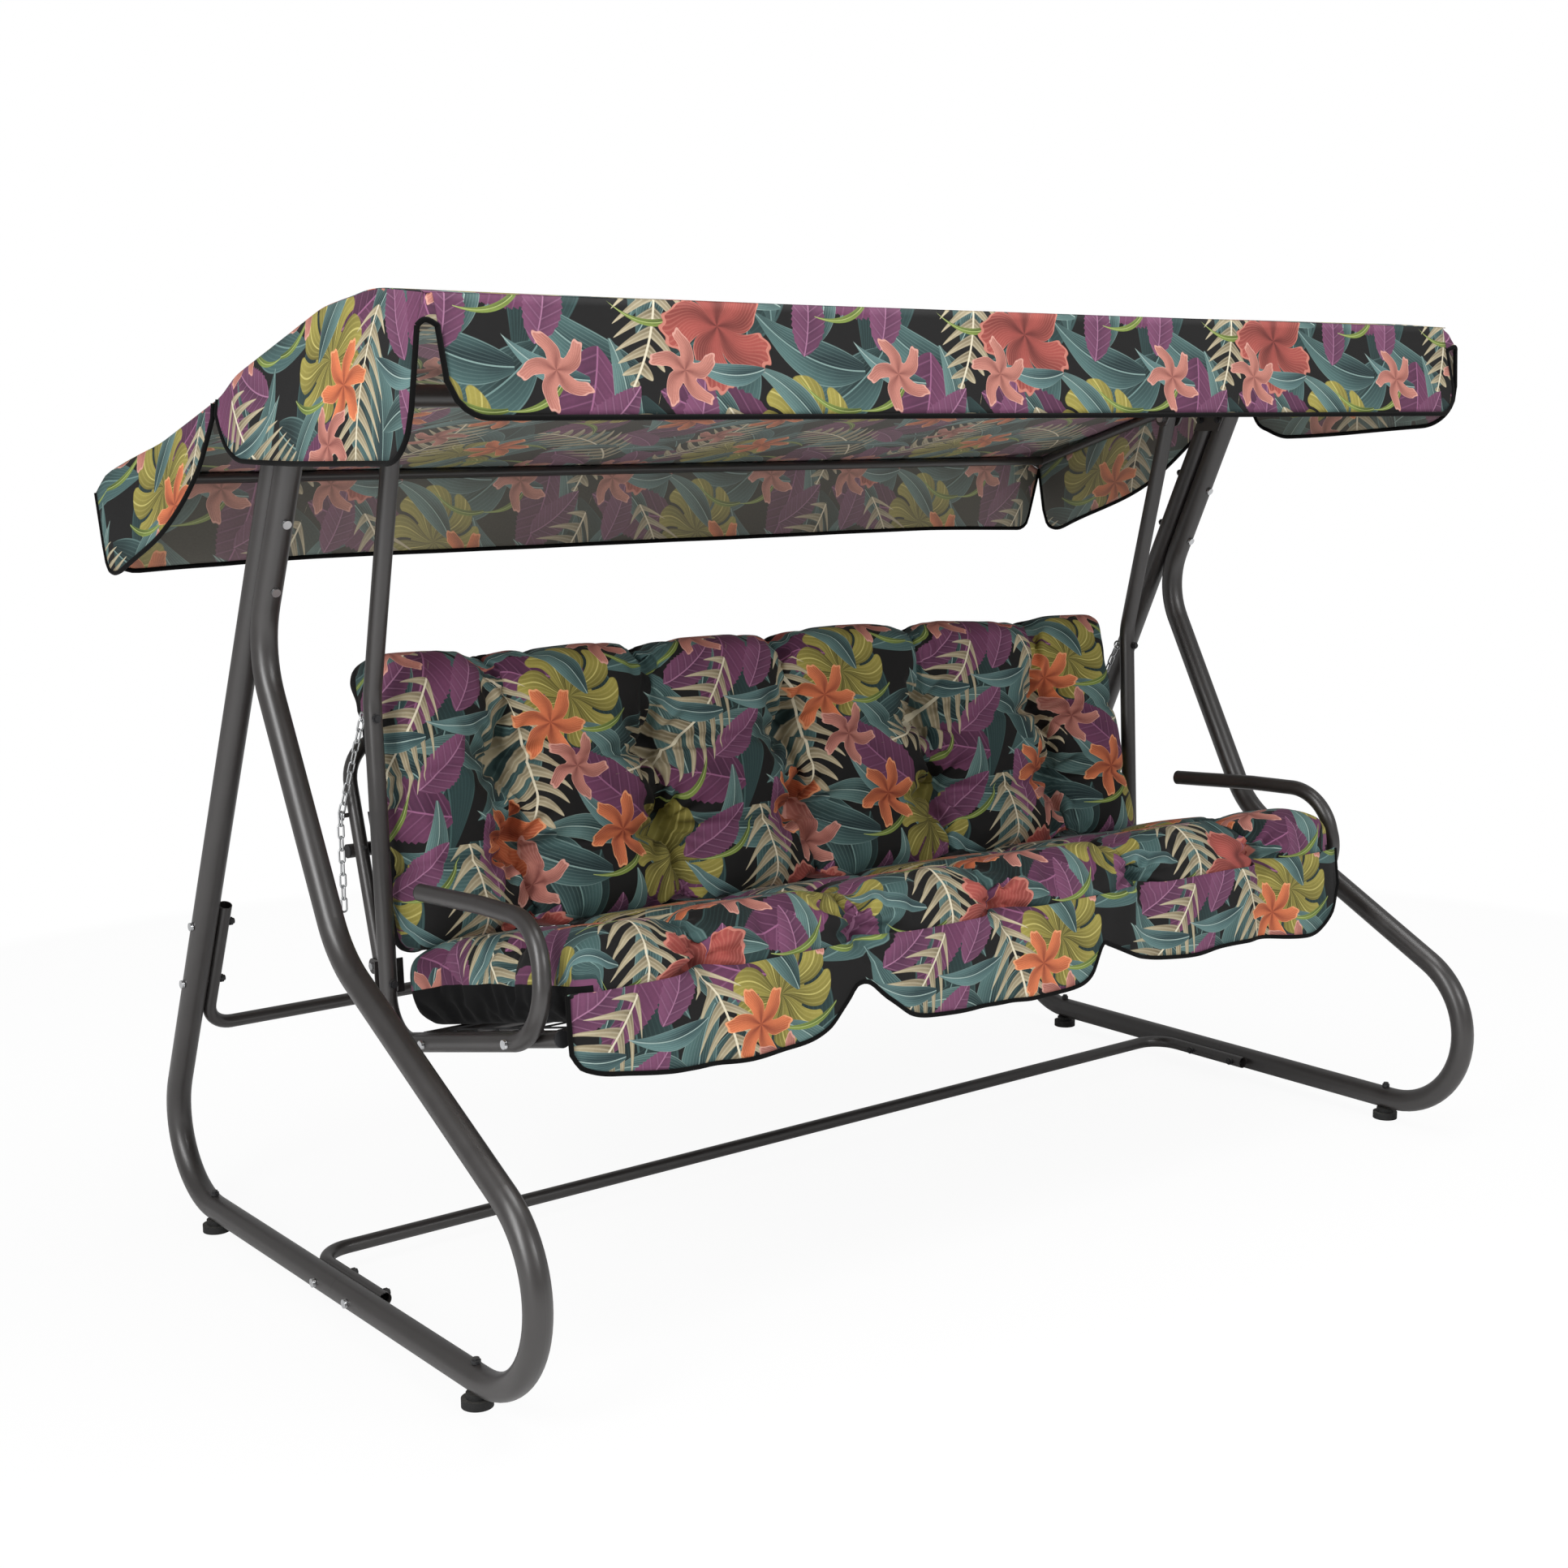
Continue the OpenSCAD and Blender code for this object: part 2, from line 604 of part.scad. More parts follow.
module foot_bolts() color(BLACK) both_sides() for (y = [foot_front_y, foot_rear_y])
    translate([stand_x, y, 0.45 * foot_h]) {
        bolt(bolt_d, rail_z + leg_r + gap - 0.45 * foot_h);
        translate([0, 0, rail_z + leg_r + gap - 0.45 * foot_h]) cap_nut();
    }
module stand_bolts() color(ZINC) both_sides() {
    grip = leg_d + cross_d + 3 * gap;
    rail_bolt_places(stand_x + leg_r + gap) rotate([180, 0, 0]) bolt(bolt_d, grip);
    rear_cross_bolt_places(stand_x + leg_r + gap) rotate([180, 0, 0]) bolt(bolt_d, grip);
    tie_bolt_places() translate([0, 0, -leg_pitch - leg_r - gap]) bolt(bolt_d, leg_pitch + leg_d + 2 * gap);
    for (y = [front_leg_y(flange_bolt_z), rear_leg_y(flange_bolt_z)])
        along_x(stand_x + leg_r + gap, [y, flange_bolt_z]) rotate([180, 0, 0])
            bolt(bolt_d, leg_d + plate_t + 3 * gap);
}
module stand_caps() color(BLACK) both_sides() {
    inner = cross_x - cross_d / 2 - gap;
    rail_bolt_places(inner) rotate([180, 0, 0]) cap_nut();
    rear_cross_bolt_places(inner) rotate([180, 0, 0]) cap_nut();
    tie_bolt_places() translate([0, 0, leg_r + gap]) cap_nut();
    for (y = [front_leg_y(flange_bolt_z), rear_leg_y(flange_bolt_z)])
        along_x(flange_x - plate_t - gap, [y, flange_bolt_z]) rotate([180, 0, 0]) cap_nut();
}

// Hangers and hinges
module hanger() color(FRAME) difference() {
    side(hanger_x) bent_tube([hanger_top, hanger_bend, hanger_low], [hanger_bend_r], hanger_d, hanger_wall);
    along_x(hanger_x, [pin_y, pin_z]) bar(pin_hole, 2 * hanger_d);
    along_side(chain_x, eye, -hanger_low_lean) bar(bolt_hole, 4 * hanger_d);
    plug_bolt_place() bar(bolt_hole, 2 * hanger_d);
}
module plug_bolt_place()
    along_side(hanger_x, [hanger_y(plug_bolt_z), plug_bolt_z], -hanger_low_lean) children();
module hinge_bracket() color(FRAME) difference() {
    plate_tall = 60;
    plate_low = 42;
    union() {
        translate([0, hinge_foot[0], hinge_foot[1]]) rotate([-hanger_low_lean, 0, 0])
            translate([cheek_in - flank, hanger_d / 2 + gap, -plate_low])
                cube([hanger_x + hanger_d / 2 - cheek_in + flank, cheek_t, plate_tall]);
        for (x = [cheek_in, cheek_out]) side(x) linear_extrude(cheek_t) {
            translate(hinge) circle(post_r + cheek_rim);
            translate(hinge_foot) rotate([0, 0, -hanger_low_lean])
                translate([hanger_d / 2 + gap + cheek_t / 2, flank - post_r - cheek_rim])
                    square([hinge_reach - hanger_d / 2 - cheek_t, 2 * (post_r + cheek_rim - flank)]);
        }
    }
    along_x(post_x, hinge) bar(hinge_hole, 2 * hanger_d);
    plug_bolt_place() bar(bolt_hole, 3 * hanger_d);
}
module hinge_pins() color(ZINC) both_sides() {
    half = post_r + cheek_gap + cheek_t + gap;
    along_x(post_x, hinge) {
        bar(hinge_d, 2 * half);
        for (end = [0, 1]) mirror([0, 0, end]) translate([0, 0, half]) cylinder(d = 1.6 * hinge_d, h = 4);
    }
}

// Seat
module seat_rail() color(FRAME) difference() {
    side(hanger_x) bent_tube([seat_corner + seat_len * dir(seat_dir), seat_corner, rail_up],
        [seat_bend_r], rail_d, rail_wall);
    plug_bolt_place() bar(bolt_hole, 2 * hanger_d);
    arm_bolt_places(hanger_x) bar(bolt_hole, 2 * rail_d);
}
module arm_bolt_places(x)
    for (s = arm_bolt_s) along_x(x, seat_corner + s * dir(seat_dir)) children();
module seat_bar(s) color(FRAME) on_seat() difference() {
    translate([0, s, 0]) rotate([0, 90, 0]) difference() {
        bar(rail_d, 2 * hanger_x - rail_d / 2);
        bar(rail_d - 2 * rail_wall, 2 * hanger_x);
    }
    for (x = [-hanger_x, hanger_x]) translate([x, 0, 0]) rotate([90, 0, 0])
        bar(rail_d + gap, 4 * seat_len);
}
net_edge = hanger_x - rail_d / 2 - spring_reach;
seat_net_len = front_bar_s - rear_bar_s - rail_d - 2 * net_clear;
module seat_net() color(BLACK) on_seat()
    translate([-net_edge, rear_bar_s + rail_d / 2 + net_clear, net_n]) linear_extrude(net_bar)
        grille(2 * net_edge, seat_net_len);
module seat_springs() color(ZINC) on_seat() {
    length = spring_reach + net_bar - gap;
    end_in = 2.5 * spring_d;
    for (side = [-1, 1], i = [0 : spring_count - 1])
        translate([side * (net_edge - net_bar + length / 2),
            rear_bar_s + rail_d / 2 + net_clear + end_in
                + i * (seat_net_len - 2 * end_in) / (spring_count - 1),
            net_n - spring_d / 2 - gap / 2])
            rotate([0, 90, 0]) bar(spring_d, length);
}
module armrest() color(FRAME) difference() {
    seat_side(arm_x) rotate([-arm_lean, 0, 0])
        bent_tube([[arm_tip, arm_h], arm_knee, arm_head, [arm_front, 0], [arm_foot, 0]],
            [arm_bend_r, arm_r, arm_r], arm_d, arm_wall);
    arm_bolt_places(arm_x) bar(bolt_hole, 2 * arm_d);
}
module seat_plugs() color(BLACK) both_sides() {
    seat_side(arm_x) rotate([-arm_lean, 0, 0]) {
        translate([arm_tip, arm_h, 0]) rotate([0, -90, -arm_fall]) plug(arm_d, arm_wall);
        translate([arm_foot, 0, 0]) rotate([0, -90, 0]) plug(arm_d, arm_wall);
    }
    seat_side(hanger_x) translate([seat_len, 0, 0]) rotate([0, 90, 0]) plug(rail_d, rail_wall);
}
module swing_bolts() color(ZINC) both_sides() {
    arm_bolt_places(arm_x + arm_d / 2 + gap) rotate([180, 0, 0]) bolt(bolt_d, arm_d + rail_d + 3 * gap);
    plug_bolt_place() translate([0, 0, hanger_d / 2 + cheek_t + 2 * gap]) rotate([180, 0, 0])
        bolt(bolt_d, hanger_d + cheek_t + 3 * gap);
}
module swing_caps() color(BLACK) both_sides() {
    arm_bolt_places(hanger_x - rail_d / 2 - gap) rotate([180, 0, 0]) cap_nut();
    plug_bolt_place() translate([0, 0, -hanger_d / 2 - gap]) rotate([180, 0, 0]) cap_nut();
    along_side(chain_x, eye, -hanger_low_lean) translate([0, 0, -eye_grip]) rotate([180, 0, 0]) cap_nut();
}
eye_grip = eye_r + eye_wire / 2 + 6 + hanger_d + gap;
module chain_eyes() color(ZINC) both_sides() {
    along_side(chain_x, eye, -hanger_low_lean) {
        rotate([0, 90, 0]) rotate_extrude() translate([eye_r, 0]) circle(d = eye_wire);
        translate([0, 0, -eye_grip]) cylinder(d = bolt_d, h = eye_grip - eye_r);
        translate([0, 0, -eye_r - eye_wire / 2 - 5]) cylinder(d = 13, h = 5 - gap);
    }
}
module seat_cushion() color(PRINT) seat_side(-cushion_w / 2) linear_extrude(cushion_w)
    translate([seat_cushion_s, seat_cushion_n]) rounded([seat_cushion_len, seat_cushion_t], cushion_r);
module seat_apron() color(PRINT) {
    apron_t = 4;
    seam_over = 15; // the seam's height over the cushion's foremost line
    foremost = seat_corner + (seat_cushion_s + seat_cushion_len - cushion_r) * dir(seat_dir)
        + (seat_cushion_n + cushion_r) * dir(90 - seat_rise) - [cushion_r, 0];
    translate([-5, foremost[0] - gap, foremost[1] + seam_over]) rotate([90, 0, 0]) linear_extrude(apron_t)
        for (i = [-1, 0, 1]) translate([i * apron_panel, 0])
            hanging_panel(apron_panel + 2 * step, apron_h, apron_r);
}

// Back
module back_post() color(FRAME) difference() {
    union() {
        on_back() translate([post_x, -post_r + 0.5, 0]) rotate([-90, 0, 0])
            cylinder(d = post_d, h = post_len + post_r - 0.5);
        on_back() translate([post_x + post_r / 2, stud_u, stud_f]) rotate([0, 90, 0])
            cylinder(d = 8, h = stud_end - post_x - post_r / 2);
    }
    on_back() translate([post_x, -post_r, 0]) rotate([-90, 0, 0])
        cylinder(d = post_d - 2 * post_wall, h = post_len + 2 * post_r);
    along_x(post_x, hinge) bar(hinge_hole, 2 * post_d);
    on_back() translate([post_x, brace_u, 0]) bar(bolt_hole, 2 * post_d);
}
module back_hoop() color(FRAME) on_back() {
    start = post_len + gap;
    spigot = 45;
    bent_tube([[-post_x, start], [-post_x, hoop_u], [post_x, hoop_u], [post_x, start]],
        [hoop_r, hoop_r], post_d, post_wall);
    for (x = [-post_x, post_x]) translate([x, start, 0]) rotate([90, 0, 0]) difference() {
        union() {
            cylinder(d = post_d - 2 * post_wall - gap, h = spigot);
            translate([0, 0, -12]) cylinder(d = post_d - 2 * post_wall + 4 * step, h = 12 - 2 * gap);
            translate([0, 0, -12]) cylinder(d = post_d - 2 * post_wall - gap, h = 12 + lap);
        }
        bar(post_d - 4 * post_wall, 3 * spigot);
    }
}
module back_brace() color(FRAME) on_back() difference() {
    translate([0, brace_u, brace_f]) rotate([0, 90, 0]) difference() {
        bar(brace_d, 2 * brace_end);
        bar(brace_d - 2 * post_wall, 3 * brace_end);
    }
    both_sides() translate([post_x, brace_u, brace_f]) bar(bolt_hole, 2 * brace_d);
}
module brace_plugs() color(BLACK) on_back() both_sides()
    translate([brace_end + gap / 3, brace_u, brace_f]) rotate([0, 90, 0]) difference() {
        plug(brace_d, post_wall);
        translate([0, 0, -12.5]) cylinder(d = brace_d, h = 9);
    }
module brace_bolts() color(ZINC) on_back() both_sides()
    translate([post_x, brace_u, brace_f - brace_d / 2 - gap]) bolt(bolt_d, brace_d + post_d - post_wall);
module back_net() color(BLACK) on_back() {
    w = 2 * (post_x - post_r - net_clear);
    l = hoop_u - post_r - net_clear - net_start;
    corner = [(w - net_bar) / floor(w / net_pitch), (l - net_bar) / floor(l / net_pitch)];
    translate([-w / 2, net_start, post_r - net_bar]) linear_extrude(net_bar) difference() {
        grille(w, l);
        for (x = [-corner[0], w - corner[0]]) translate([x, l - corner[1]]) square(2 * corner);
    }
}
module back_cushion() color(PRINT) translate([0, hinge[0], hinge[1]]) rotate([90 - back_lean, 0, 0])
    translate([-cushion_w / 2, 0, 0]) rotate([90, 0, 90]) linear_extrude(cushion_w)
        translate([back_cushion_u, back_cushion_f]) rounded([back_cushion_len, back_cushion_t], cushion_r);

// Chains
module link() {
    bend = (link_w - wire) / 2;
    for (end = [0, 1]) translate([0, 0, end == 0 ? -bend : bend - link_c]) rotate([end == 0 ? 90 : -90, 0, 0])
        rotate_extrude(angle = 180, $fn = 32) translate([bend, 0]) circle(d = wire, $fn = 24);
    for (x = [-bend, bend]) translate([x, 0, bend - link_c - 0.5])
        cylinder(d = wire - step, h = link_c - 2 * bend + 1, $fn = 24);
}
// Links hung under each other, the first with its width along X or along Y
module links(count, first) for (i = [0 : count - 1])
    translate([0, 0, -i * chain_pitch]) rotate([0, 0, (i + first) % 2 == 0 ? 0 : 90]) link();
module chain() color(ZINC) {
    translate([chain_x, eye[0], eye[1]]) rotate([run_lean, 0, 0]) translate([0, 0, -eye_seat])
        links(run_links, 0);
    translate([ring_x, stud[0], stud[1]]) rotate([0, 90, 0])
        rotate_extrude($fn = 32) translate([eye_r, 0]) circle(d = ring_wire, $fn = 24);
}
module chain_tail() color(ZINC)
    translate([tail_x, junction[0], junction[1] + shared_seat]) links(tail_links, 1);

// Canopy
module canopy_tube() color(FRAME) difference() {
    union() {
        side(canopy_x) bent_tube(canopy_line, [ridge_r], canopy_d, canopy_wall);
        side(canopy_x - canopy_d / 2 - tab_t + weld) linear_extrude(tab_t) {
            translate(tilt) circle(tab_r);
            translate(tilt) rotate([0, 0, -rear_slope]) translate([flank - tab_r, 0])
                square([2 * (tab_r - flank), (canopy_z(tilt[0]) - tilt_z) * cos(rear_slope)]);
        }
    }
    side(canopy_x - canopy_d) translate(tilt) cylinder(d = bolt_hole, h = 2 * canopy_d);
    side(canopy_x) translate(canopy_line[0]) rotate([0, 90, front_slope])
        cylinder(d = canopy_d - 2 * canopy_wall, h = 2 * canopy_d);
}
module canopy_bar(y) color(FRAME) translate([0, y, canopy_z(y)]) rotate([0, 90, 0]) difference() {
    bar(canopy_d, 2 * (canopy_x - canopy_d / 2 - gap / 2));
    bar(canopy_d - 2 * canopy_wall, 2 * canopy_x);
}
tab_out = canopy_x - canopy_d / 2 + weld;
module tilt_bolts() color(ZINC) both_sides()
    along_x(tab_out + gap, tilt) rotate([180, 0, 0]) bolt(bolt_d, tab_out + 2 * gap - flange_x + plate_t);
module tilt_knobs() color(BLACK) both_sides()
    along_x(flange_x - plate_t - gap, tilt) rotate([180, 0, 0]) difference() {
        union() {
            cylinder(d = 0.6 * knob_d, h = 6);
            translate([0, 0, 5]) cylinder(d = knob_d, h = 12);
        }
        for (i = [0 : 5]) rotate([0, 0, 60 * i]) translate([knob_d / 2 + 2, 0, 5.5]) cylinder(d = 9, h = 20);
    }
module canopy_roof() color(PRINT) side(-cloth_x) linear_extrude(2 * cloth_x)
    polygon(concat(roof_line(cloth_in), reverse(roof_line(cloth_in + cloth_t))));
module front_valance() color(PRINT)
    translate([0, canopy_front_y - cloth_in - gap, canopy_z(canopy_front_y) + cloth_in])
        rotate([90 - front_lean, 0, 0]) linear_extrude(cloth_t)
            hanging_panel(2 * cloth_x - 20, front_drop, valance_r);
module rear_valance() color(PRINT)
    translate([0, canopy_rear_y + cloth_in + cloth_t + gap, canopy_z(canopy_rear_y) + cloth_in / 2])
        rotate([90, 0, 0]) linear_extrude(cloth_t)
            hanging_panel(2 * cloth_x, rear_drop, valance_r / 4);
// Sheet outlines in side view, under the canopy's edge
function edge_z(y) = canopy_z(y) + cloth_in - gap;
module flap_front(notch_y) color(PRINT) side(cloth_x + gap) linear_extrude(cloth_t) {
    front_y = canopy_front_y - 2;
    edge = notch_y - 10;
    polygon(concat([[front_y, edge_z(front_y)]],
        [for (i = [0 : 4]) [front_y + flap_corner, side_hem_z + flap_corner]
            - flap_corner * dir(90 * i / 4)],
        [for (at = notch_curve) [edge - at[0], side_hem_z + at[1]]],
        [[edge, edge_z(edge) - 25], [edge, edge_z(edge)], [ridge_y, ridge_z + cloth_in - 4]]));
}
module flap_rear(notch_y) color(PRINT) side(cloth_x + gap) linear_extrude(cloth_t) {
    edge = notch_y + 10;
    rear = canopy_rear_y + cloth_in;
    run = rear - edge;
    polygon([[edge, edge_z(edge)], [edge, edge_z(edge) - 25],
        [edge + 0.15 * run, edge_z(edge + 0.15 * run) - 0.5 * side_drop],
        [edge + 0.45 * run, edge_z(edge + 0.45 * run) - 0.85 * side_drop],
        [rear - 40, edge_z(rear - 40) - side_drop], [rear - 8, edge_z(rear) - side_drop + 12],
        [rear, edge_z(rear) - side_drop + 45], [rear, edge_z(rear)]]);
}

mirror([1, 0, 0]) leg_front();  // leg_front_left
leg_front();  // leg_front_right
mirror([1, 0, 0]) leg_rear();  // leg_rear_left
leg_rear();  // leg_rear_right
rail_sleeves();
cross_tube_low();
cross_tube_rear();
top_beam();
swing_pins();
mirror([1, 0, 0]) foot(foot_front_y);  // foot_front_left
foot(foot_front_y);  // foot_front_right
mirror([1, 0, 0]) foot(foot_rear_y);  // foot_rear_left
foot(foot_rear_y);  // foot_rear_right
foot_bolts();
stand_bolts();
stand_caps();
mirror([1, 0, 0]) hanger();  // hanger_left
hanger();  // hanger_right
mirror([1, 0, 0]) hinge_bracket();  // hinge_bracket_left
hinge_bracket();  // hinge_bracket_right
hinge_pins();
mirror([1, 0, 0]) seat_rail();  // seat_rail_left
seat_rail();  // seat_rail_right
seat_bar(front_bar_s);  // seat_front_bar
seat_bar(rear_bar_s);  // seat_rear_bar
seat_net();
seat_springs();
mirror([1, 0, 0]) armrest();  // armrest_left
armrest();  // armrest_right
seat_plugs();
swing_bolts();
swing_caps();
chain_eyes();
seat_cushion();
seat_apron();
mirror([1, 0, 0]) back_post();  // back_post_left
back_post();  // back_post_right
back_hoop();
back_brace();
brace_plugs();
brace_bolts();
back_net();
back_cushion();
mirror([1, 0, 0]) chain();  // chain_left
chain();  // chain_right
mirror([1, 0, 0]) chain_tail();  // chain_tail_left
chain_tail();  // chain_tail_right
mirror([1, 0, 0]) canopy_tube();  // canopy_tube_left
canopy_tube();  // canopy_tube_right
canopy_bar(canopy_front_y);  // canopy_front_bar
canopy_bar(canopy_rear_y);  // canopy_rear_bar
tilt_bolts();
tilt_knobs();
canopy_roof();
front_valance();
rear_valance();
mirror([1, 0, 0]) flap_front(left_notch_y);  // flap_front_left
flap_front(right_notch_y);  // flap_front_right
mirror([1, 0, 0]) flap_rear(left_notch_y);  // flap_rear_left
flap_rear(right_notch_y);  // flap_rear_right
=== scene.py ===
import json
import math

import bpy
import bmesh
from mathutils import Matrix, Vector
from mathutils.bvhtree import BVHTree


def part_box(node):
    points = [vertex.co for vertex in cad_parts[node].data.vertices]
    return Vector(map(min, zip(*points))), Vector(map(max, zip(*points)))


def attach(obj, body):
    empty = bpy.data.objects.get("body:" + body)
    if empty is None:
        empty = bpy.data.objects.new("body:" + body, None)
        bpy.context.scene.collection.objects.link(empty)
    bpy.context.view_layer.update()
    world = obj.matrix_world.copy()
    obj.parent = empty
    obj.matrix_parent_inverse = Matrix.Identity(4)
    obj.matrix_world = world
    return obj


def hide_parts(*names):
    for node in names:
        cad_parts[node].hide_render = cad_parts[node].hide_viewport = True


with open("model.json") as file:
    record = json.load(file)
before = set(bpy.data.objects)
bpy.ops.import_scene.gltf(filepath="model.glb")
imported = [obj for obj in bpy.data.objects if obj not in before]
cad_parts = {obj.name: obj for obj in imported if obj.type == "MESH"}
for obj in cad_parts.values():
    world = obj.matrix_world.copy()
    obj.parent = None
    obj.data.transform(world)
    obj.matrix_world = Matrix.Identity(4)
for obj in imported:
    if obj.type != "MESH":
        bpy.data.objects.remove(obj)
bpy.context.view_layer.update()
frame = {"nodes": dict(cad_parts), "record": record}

# ---------------------------------------------------------------------------------------------
# Studio: a pale floor, a white surround, three soft lamps, and the camera at the front left,
# a little above the height of the seat's armrests.

turn, rise, roll = math.radians(-37.9755), math.radians(9.1954), math.radians(-0.4877)
level = Vector((math.cos(turn), math.sin(turn), 0))
behind = Vector((math.sin(turn) * math.cos(rise), -math.cos(turn) * math.cos(rise), math.sin(rise)))
upright = behind.cross(level)
camera = bpy.data.objects.new("camera", bpy.data.cameras.new("camera"))
bpy.context.scene.collection.objects.link(camera)
axes = (math.cos(roll) * level + math.sin(roll) * upright,
        math.cos(roll) * upright - math.sin(roll) * level, behind)
camera.matrix_world = Matrix.Translation((-2.6564, -3.2117, 1.4542)) @ Matrix(axes).transposed().to_4x4()
frame_pixels, focal_pixels = 1932, 2701.96
camera.data.sensor_width = 36
camera.data.lens = camera.data.sensor_width * focal_pixels / frame_pixels
bpy.context.scene.camera = camera
bpy.context.scene.view_settings.view_transform = "Standard"


def soft_lamp(name, place, aim, size, watts):
    lamp = bpy.data.objects.new(name, bpy.data.lights.new(name, "AREA"))
    bpy.context.scene.collection.objects.link(lamp)
    lamp.location = place
    lamp.rotation_euler = (Vector(aim) - Vector(place)).to_track_quat("-Z", "Y").to_euler()
    lamp.data.shape = "RECTANGLE"
    lamp.data.size, lamp.data.size_y = size
    lamp.data.energy = watts


soft_lamp("lamp_left", (-4.2, -1.6, 2.6), (0, 0, 0.8), (1.3, 3.4), 125)
soft_lamp("lamp_front", (0.8, -5.2, 3.4), (0, 0, 0.7), (2.6, 1.2), 76)
soft_lamp("lamp_above", (0.4, -0.6, 4.8), (0, 0, 0.5), (2.6, 2.6), 120)


def shader(tree, kind, inputs=None, **settings):
    """Adds a shader node, with its settings, and with each input from another node or from a value"""
    made = tree.nodes.new("ShaderNode" + kind)
    for name, value in settings.items():
        setattr(made, name, value)
    for socket, value in (inputs or {}).items():
        if isinstance(value, bpy.types.NodeSocket):
            tree.links.new(value, made.inputs[socket])
        else:
            made.inputs[socket].default_value = value
    return made


def calc(tree, operation, *values, clamp=False):
    return shader(tree, "Math", dict(enumerate(values)), operation=operation, use_clamp=clamp).outputs[0]


def mix_colours(tree, share, one, other, way="MIX"):
    return shader(tree, "Mix", {0: share, 6: one, 7: other}, data_type="RGBA", blend_type=way).outputs[2]


def paint(code):
    """A screen colour such as 3c3a39 as the linear colour that a shader takes"""
    parts = [int(code[i:i + 2], 16) / 255 for i in (0, 2, 4)]
    return tuple(c / 12.92 if c <= 0.04045 else ((c + 0.055) / 1.055) ** 2.4 for c in parts) + (1.0,)


def bare_material(name):
    """A new material without nodes, and its node tree"""
    made = bpy.data.materials.new(name)
    made.use_nodes = True
    made.node_tree.nodes.clear()
    return made, made.node_tree


# The surround lights the seat at 0.42, and is white where the camera looks past it
world = bpy.data.worlds.new("surround")
bpy.context.scene.world = world
world.use_nodes = True
world.node_tree.nodes.clear()
rays = shader(world.node_tree, "LightPath")
seen = calc(world.node_tree, "MAXIMUM", rays.outputs["Is Camera Ray"], rays.outputs["Is Transmission Ray"])
light = shader(world.node_tree, "Background", {"Color": (1, 1, 1, 1), "Strength": 0.42})
backdrop = shader(world.node_tree, "Background", {"Color": (1, 1, 1, 1), "Strength": 1.0})
both = shader(world.node_tree, "MixShader", {0: seen, 1: light.outputs[0], 2: backdrop.outputs[0]})
shader(world.node_tree, "OutputWorld", {"Surface": both.outputs[0]})

floor_mesh = bpy.data.meshes.new("floor")
shape = bmesh.new()
bmesh.ops.create_grid(shape, x_segments=1, y_segments=1, size=30)
shape.to_mesh(floor_mesh)
shape.free()
floor = bpy.data.objects.new("floor", floor_mesh)
bpy.context.scene.collection.objects.link(floor)

# The camera sees the floor 0.93 white, with a faint shadow of the seat, and all white further out
pale, tree = bare_material("pale_floor")
coords = shader(tree, "TexCoord").outputs["Object"]
away = shader(tree, "VectorMath", {0: coords}, operation="LENGTH").outputs["Value"]
far = shader(tree, "MapRange", {"Value": away, "From Min": 1.3, "From Max": 3.2}).outputs[0]
rays = shader(tree, "LightPath").outputs["Is Camera Ray"]
matt = shader(tree, "BsdfPrincipled", {"Base Color": (0.93, 0.93, 0.93, 1), "Roughness": 0.9})
glow = shader(tree, "Emission", {"Color": (1, 1, 1, 1), "Strength": 1.0})
share = calc(tree, "MULTIPLY", calc(tree, "MAXIMUM", far, 0.93), rays)
both = shader(tree, "MixShader", {0: share, 1: matt.outputs[0], 2: glow.outputs[0]})
shader(tree, "OutputMaterial", {"Surface": both.outputs[0]})
floor_mesh.materials.append(pale)

# ---------------------------------------------------------------------------------------------
# Frame: bent steel tubes, powder coated in anthracite, with a faint orange peel in the gloss and
# dust that lies on what faces up. The tubes, brackets, lugs and plates are the frame's own solids.


def new_group(name, inputs, outputs):
    """An empty shader node group, with the sockets that it is given and those that it gives"""
    group = bpy.data.node_groups.new(name, "ShaderNodeTree")
    for way, sockets in (("INPUT", inputs), ("OUTPUT", outputs)):
        for title, kind in sockets.items():
            group.interface.new_socket(name=title, in_out=way, socket_type="NodeSocket" + kind)
    return group, group.nodes.new("NodeGroupInput").outputs, group.nodes.new("NodeGroupOutput").inputs


def give(group, gives, **values):
    """Links what the group works out to the sockets that it gives"""
    for title, value in values.items():
        group.links.new(value, gives[title])
    return group


def times(tree, value, *others):
    for other in others:
        value = calc(tree, "MULTIPLY", value, other)
    return value


def plus(tree, value, *others):
    for other in others:
        value = calc(tree, "ADD", value, other)
    return value


def settled_dust():
    """How much dust lies on a face: more the more it faces up, broken up by two sizes of noise"""
    group, given, gives = new_group("settled_dust", {"Place": "Vector", "Amount": "Float"}, {"Dust": "Float"})
    facing = shader(group, "NewGeometry").outputs["Normal"]
    up = shader(group, "SeparateXYZ", {0: facing}).outputs[2]
    flat = shader(group, "MapRange", {"Value": up, "From Min": 0.35, "From Max": 1.0}).outputs[0]
    broad = shader(group, "TexNoise", {"Vector": given["Place"], "Scale": 9.0, "Detail": 3.0}).outputs[0]
    fine = shader(group, "TexNoise", {"Vector": given["Place"], "Scale": 140.0, "Detail": 2.0}).outputs[0]
    return give(group, gives, Dust=times(group, flat, broad, fine, given["Amount"]))


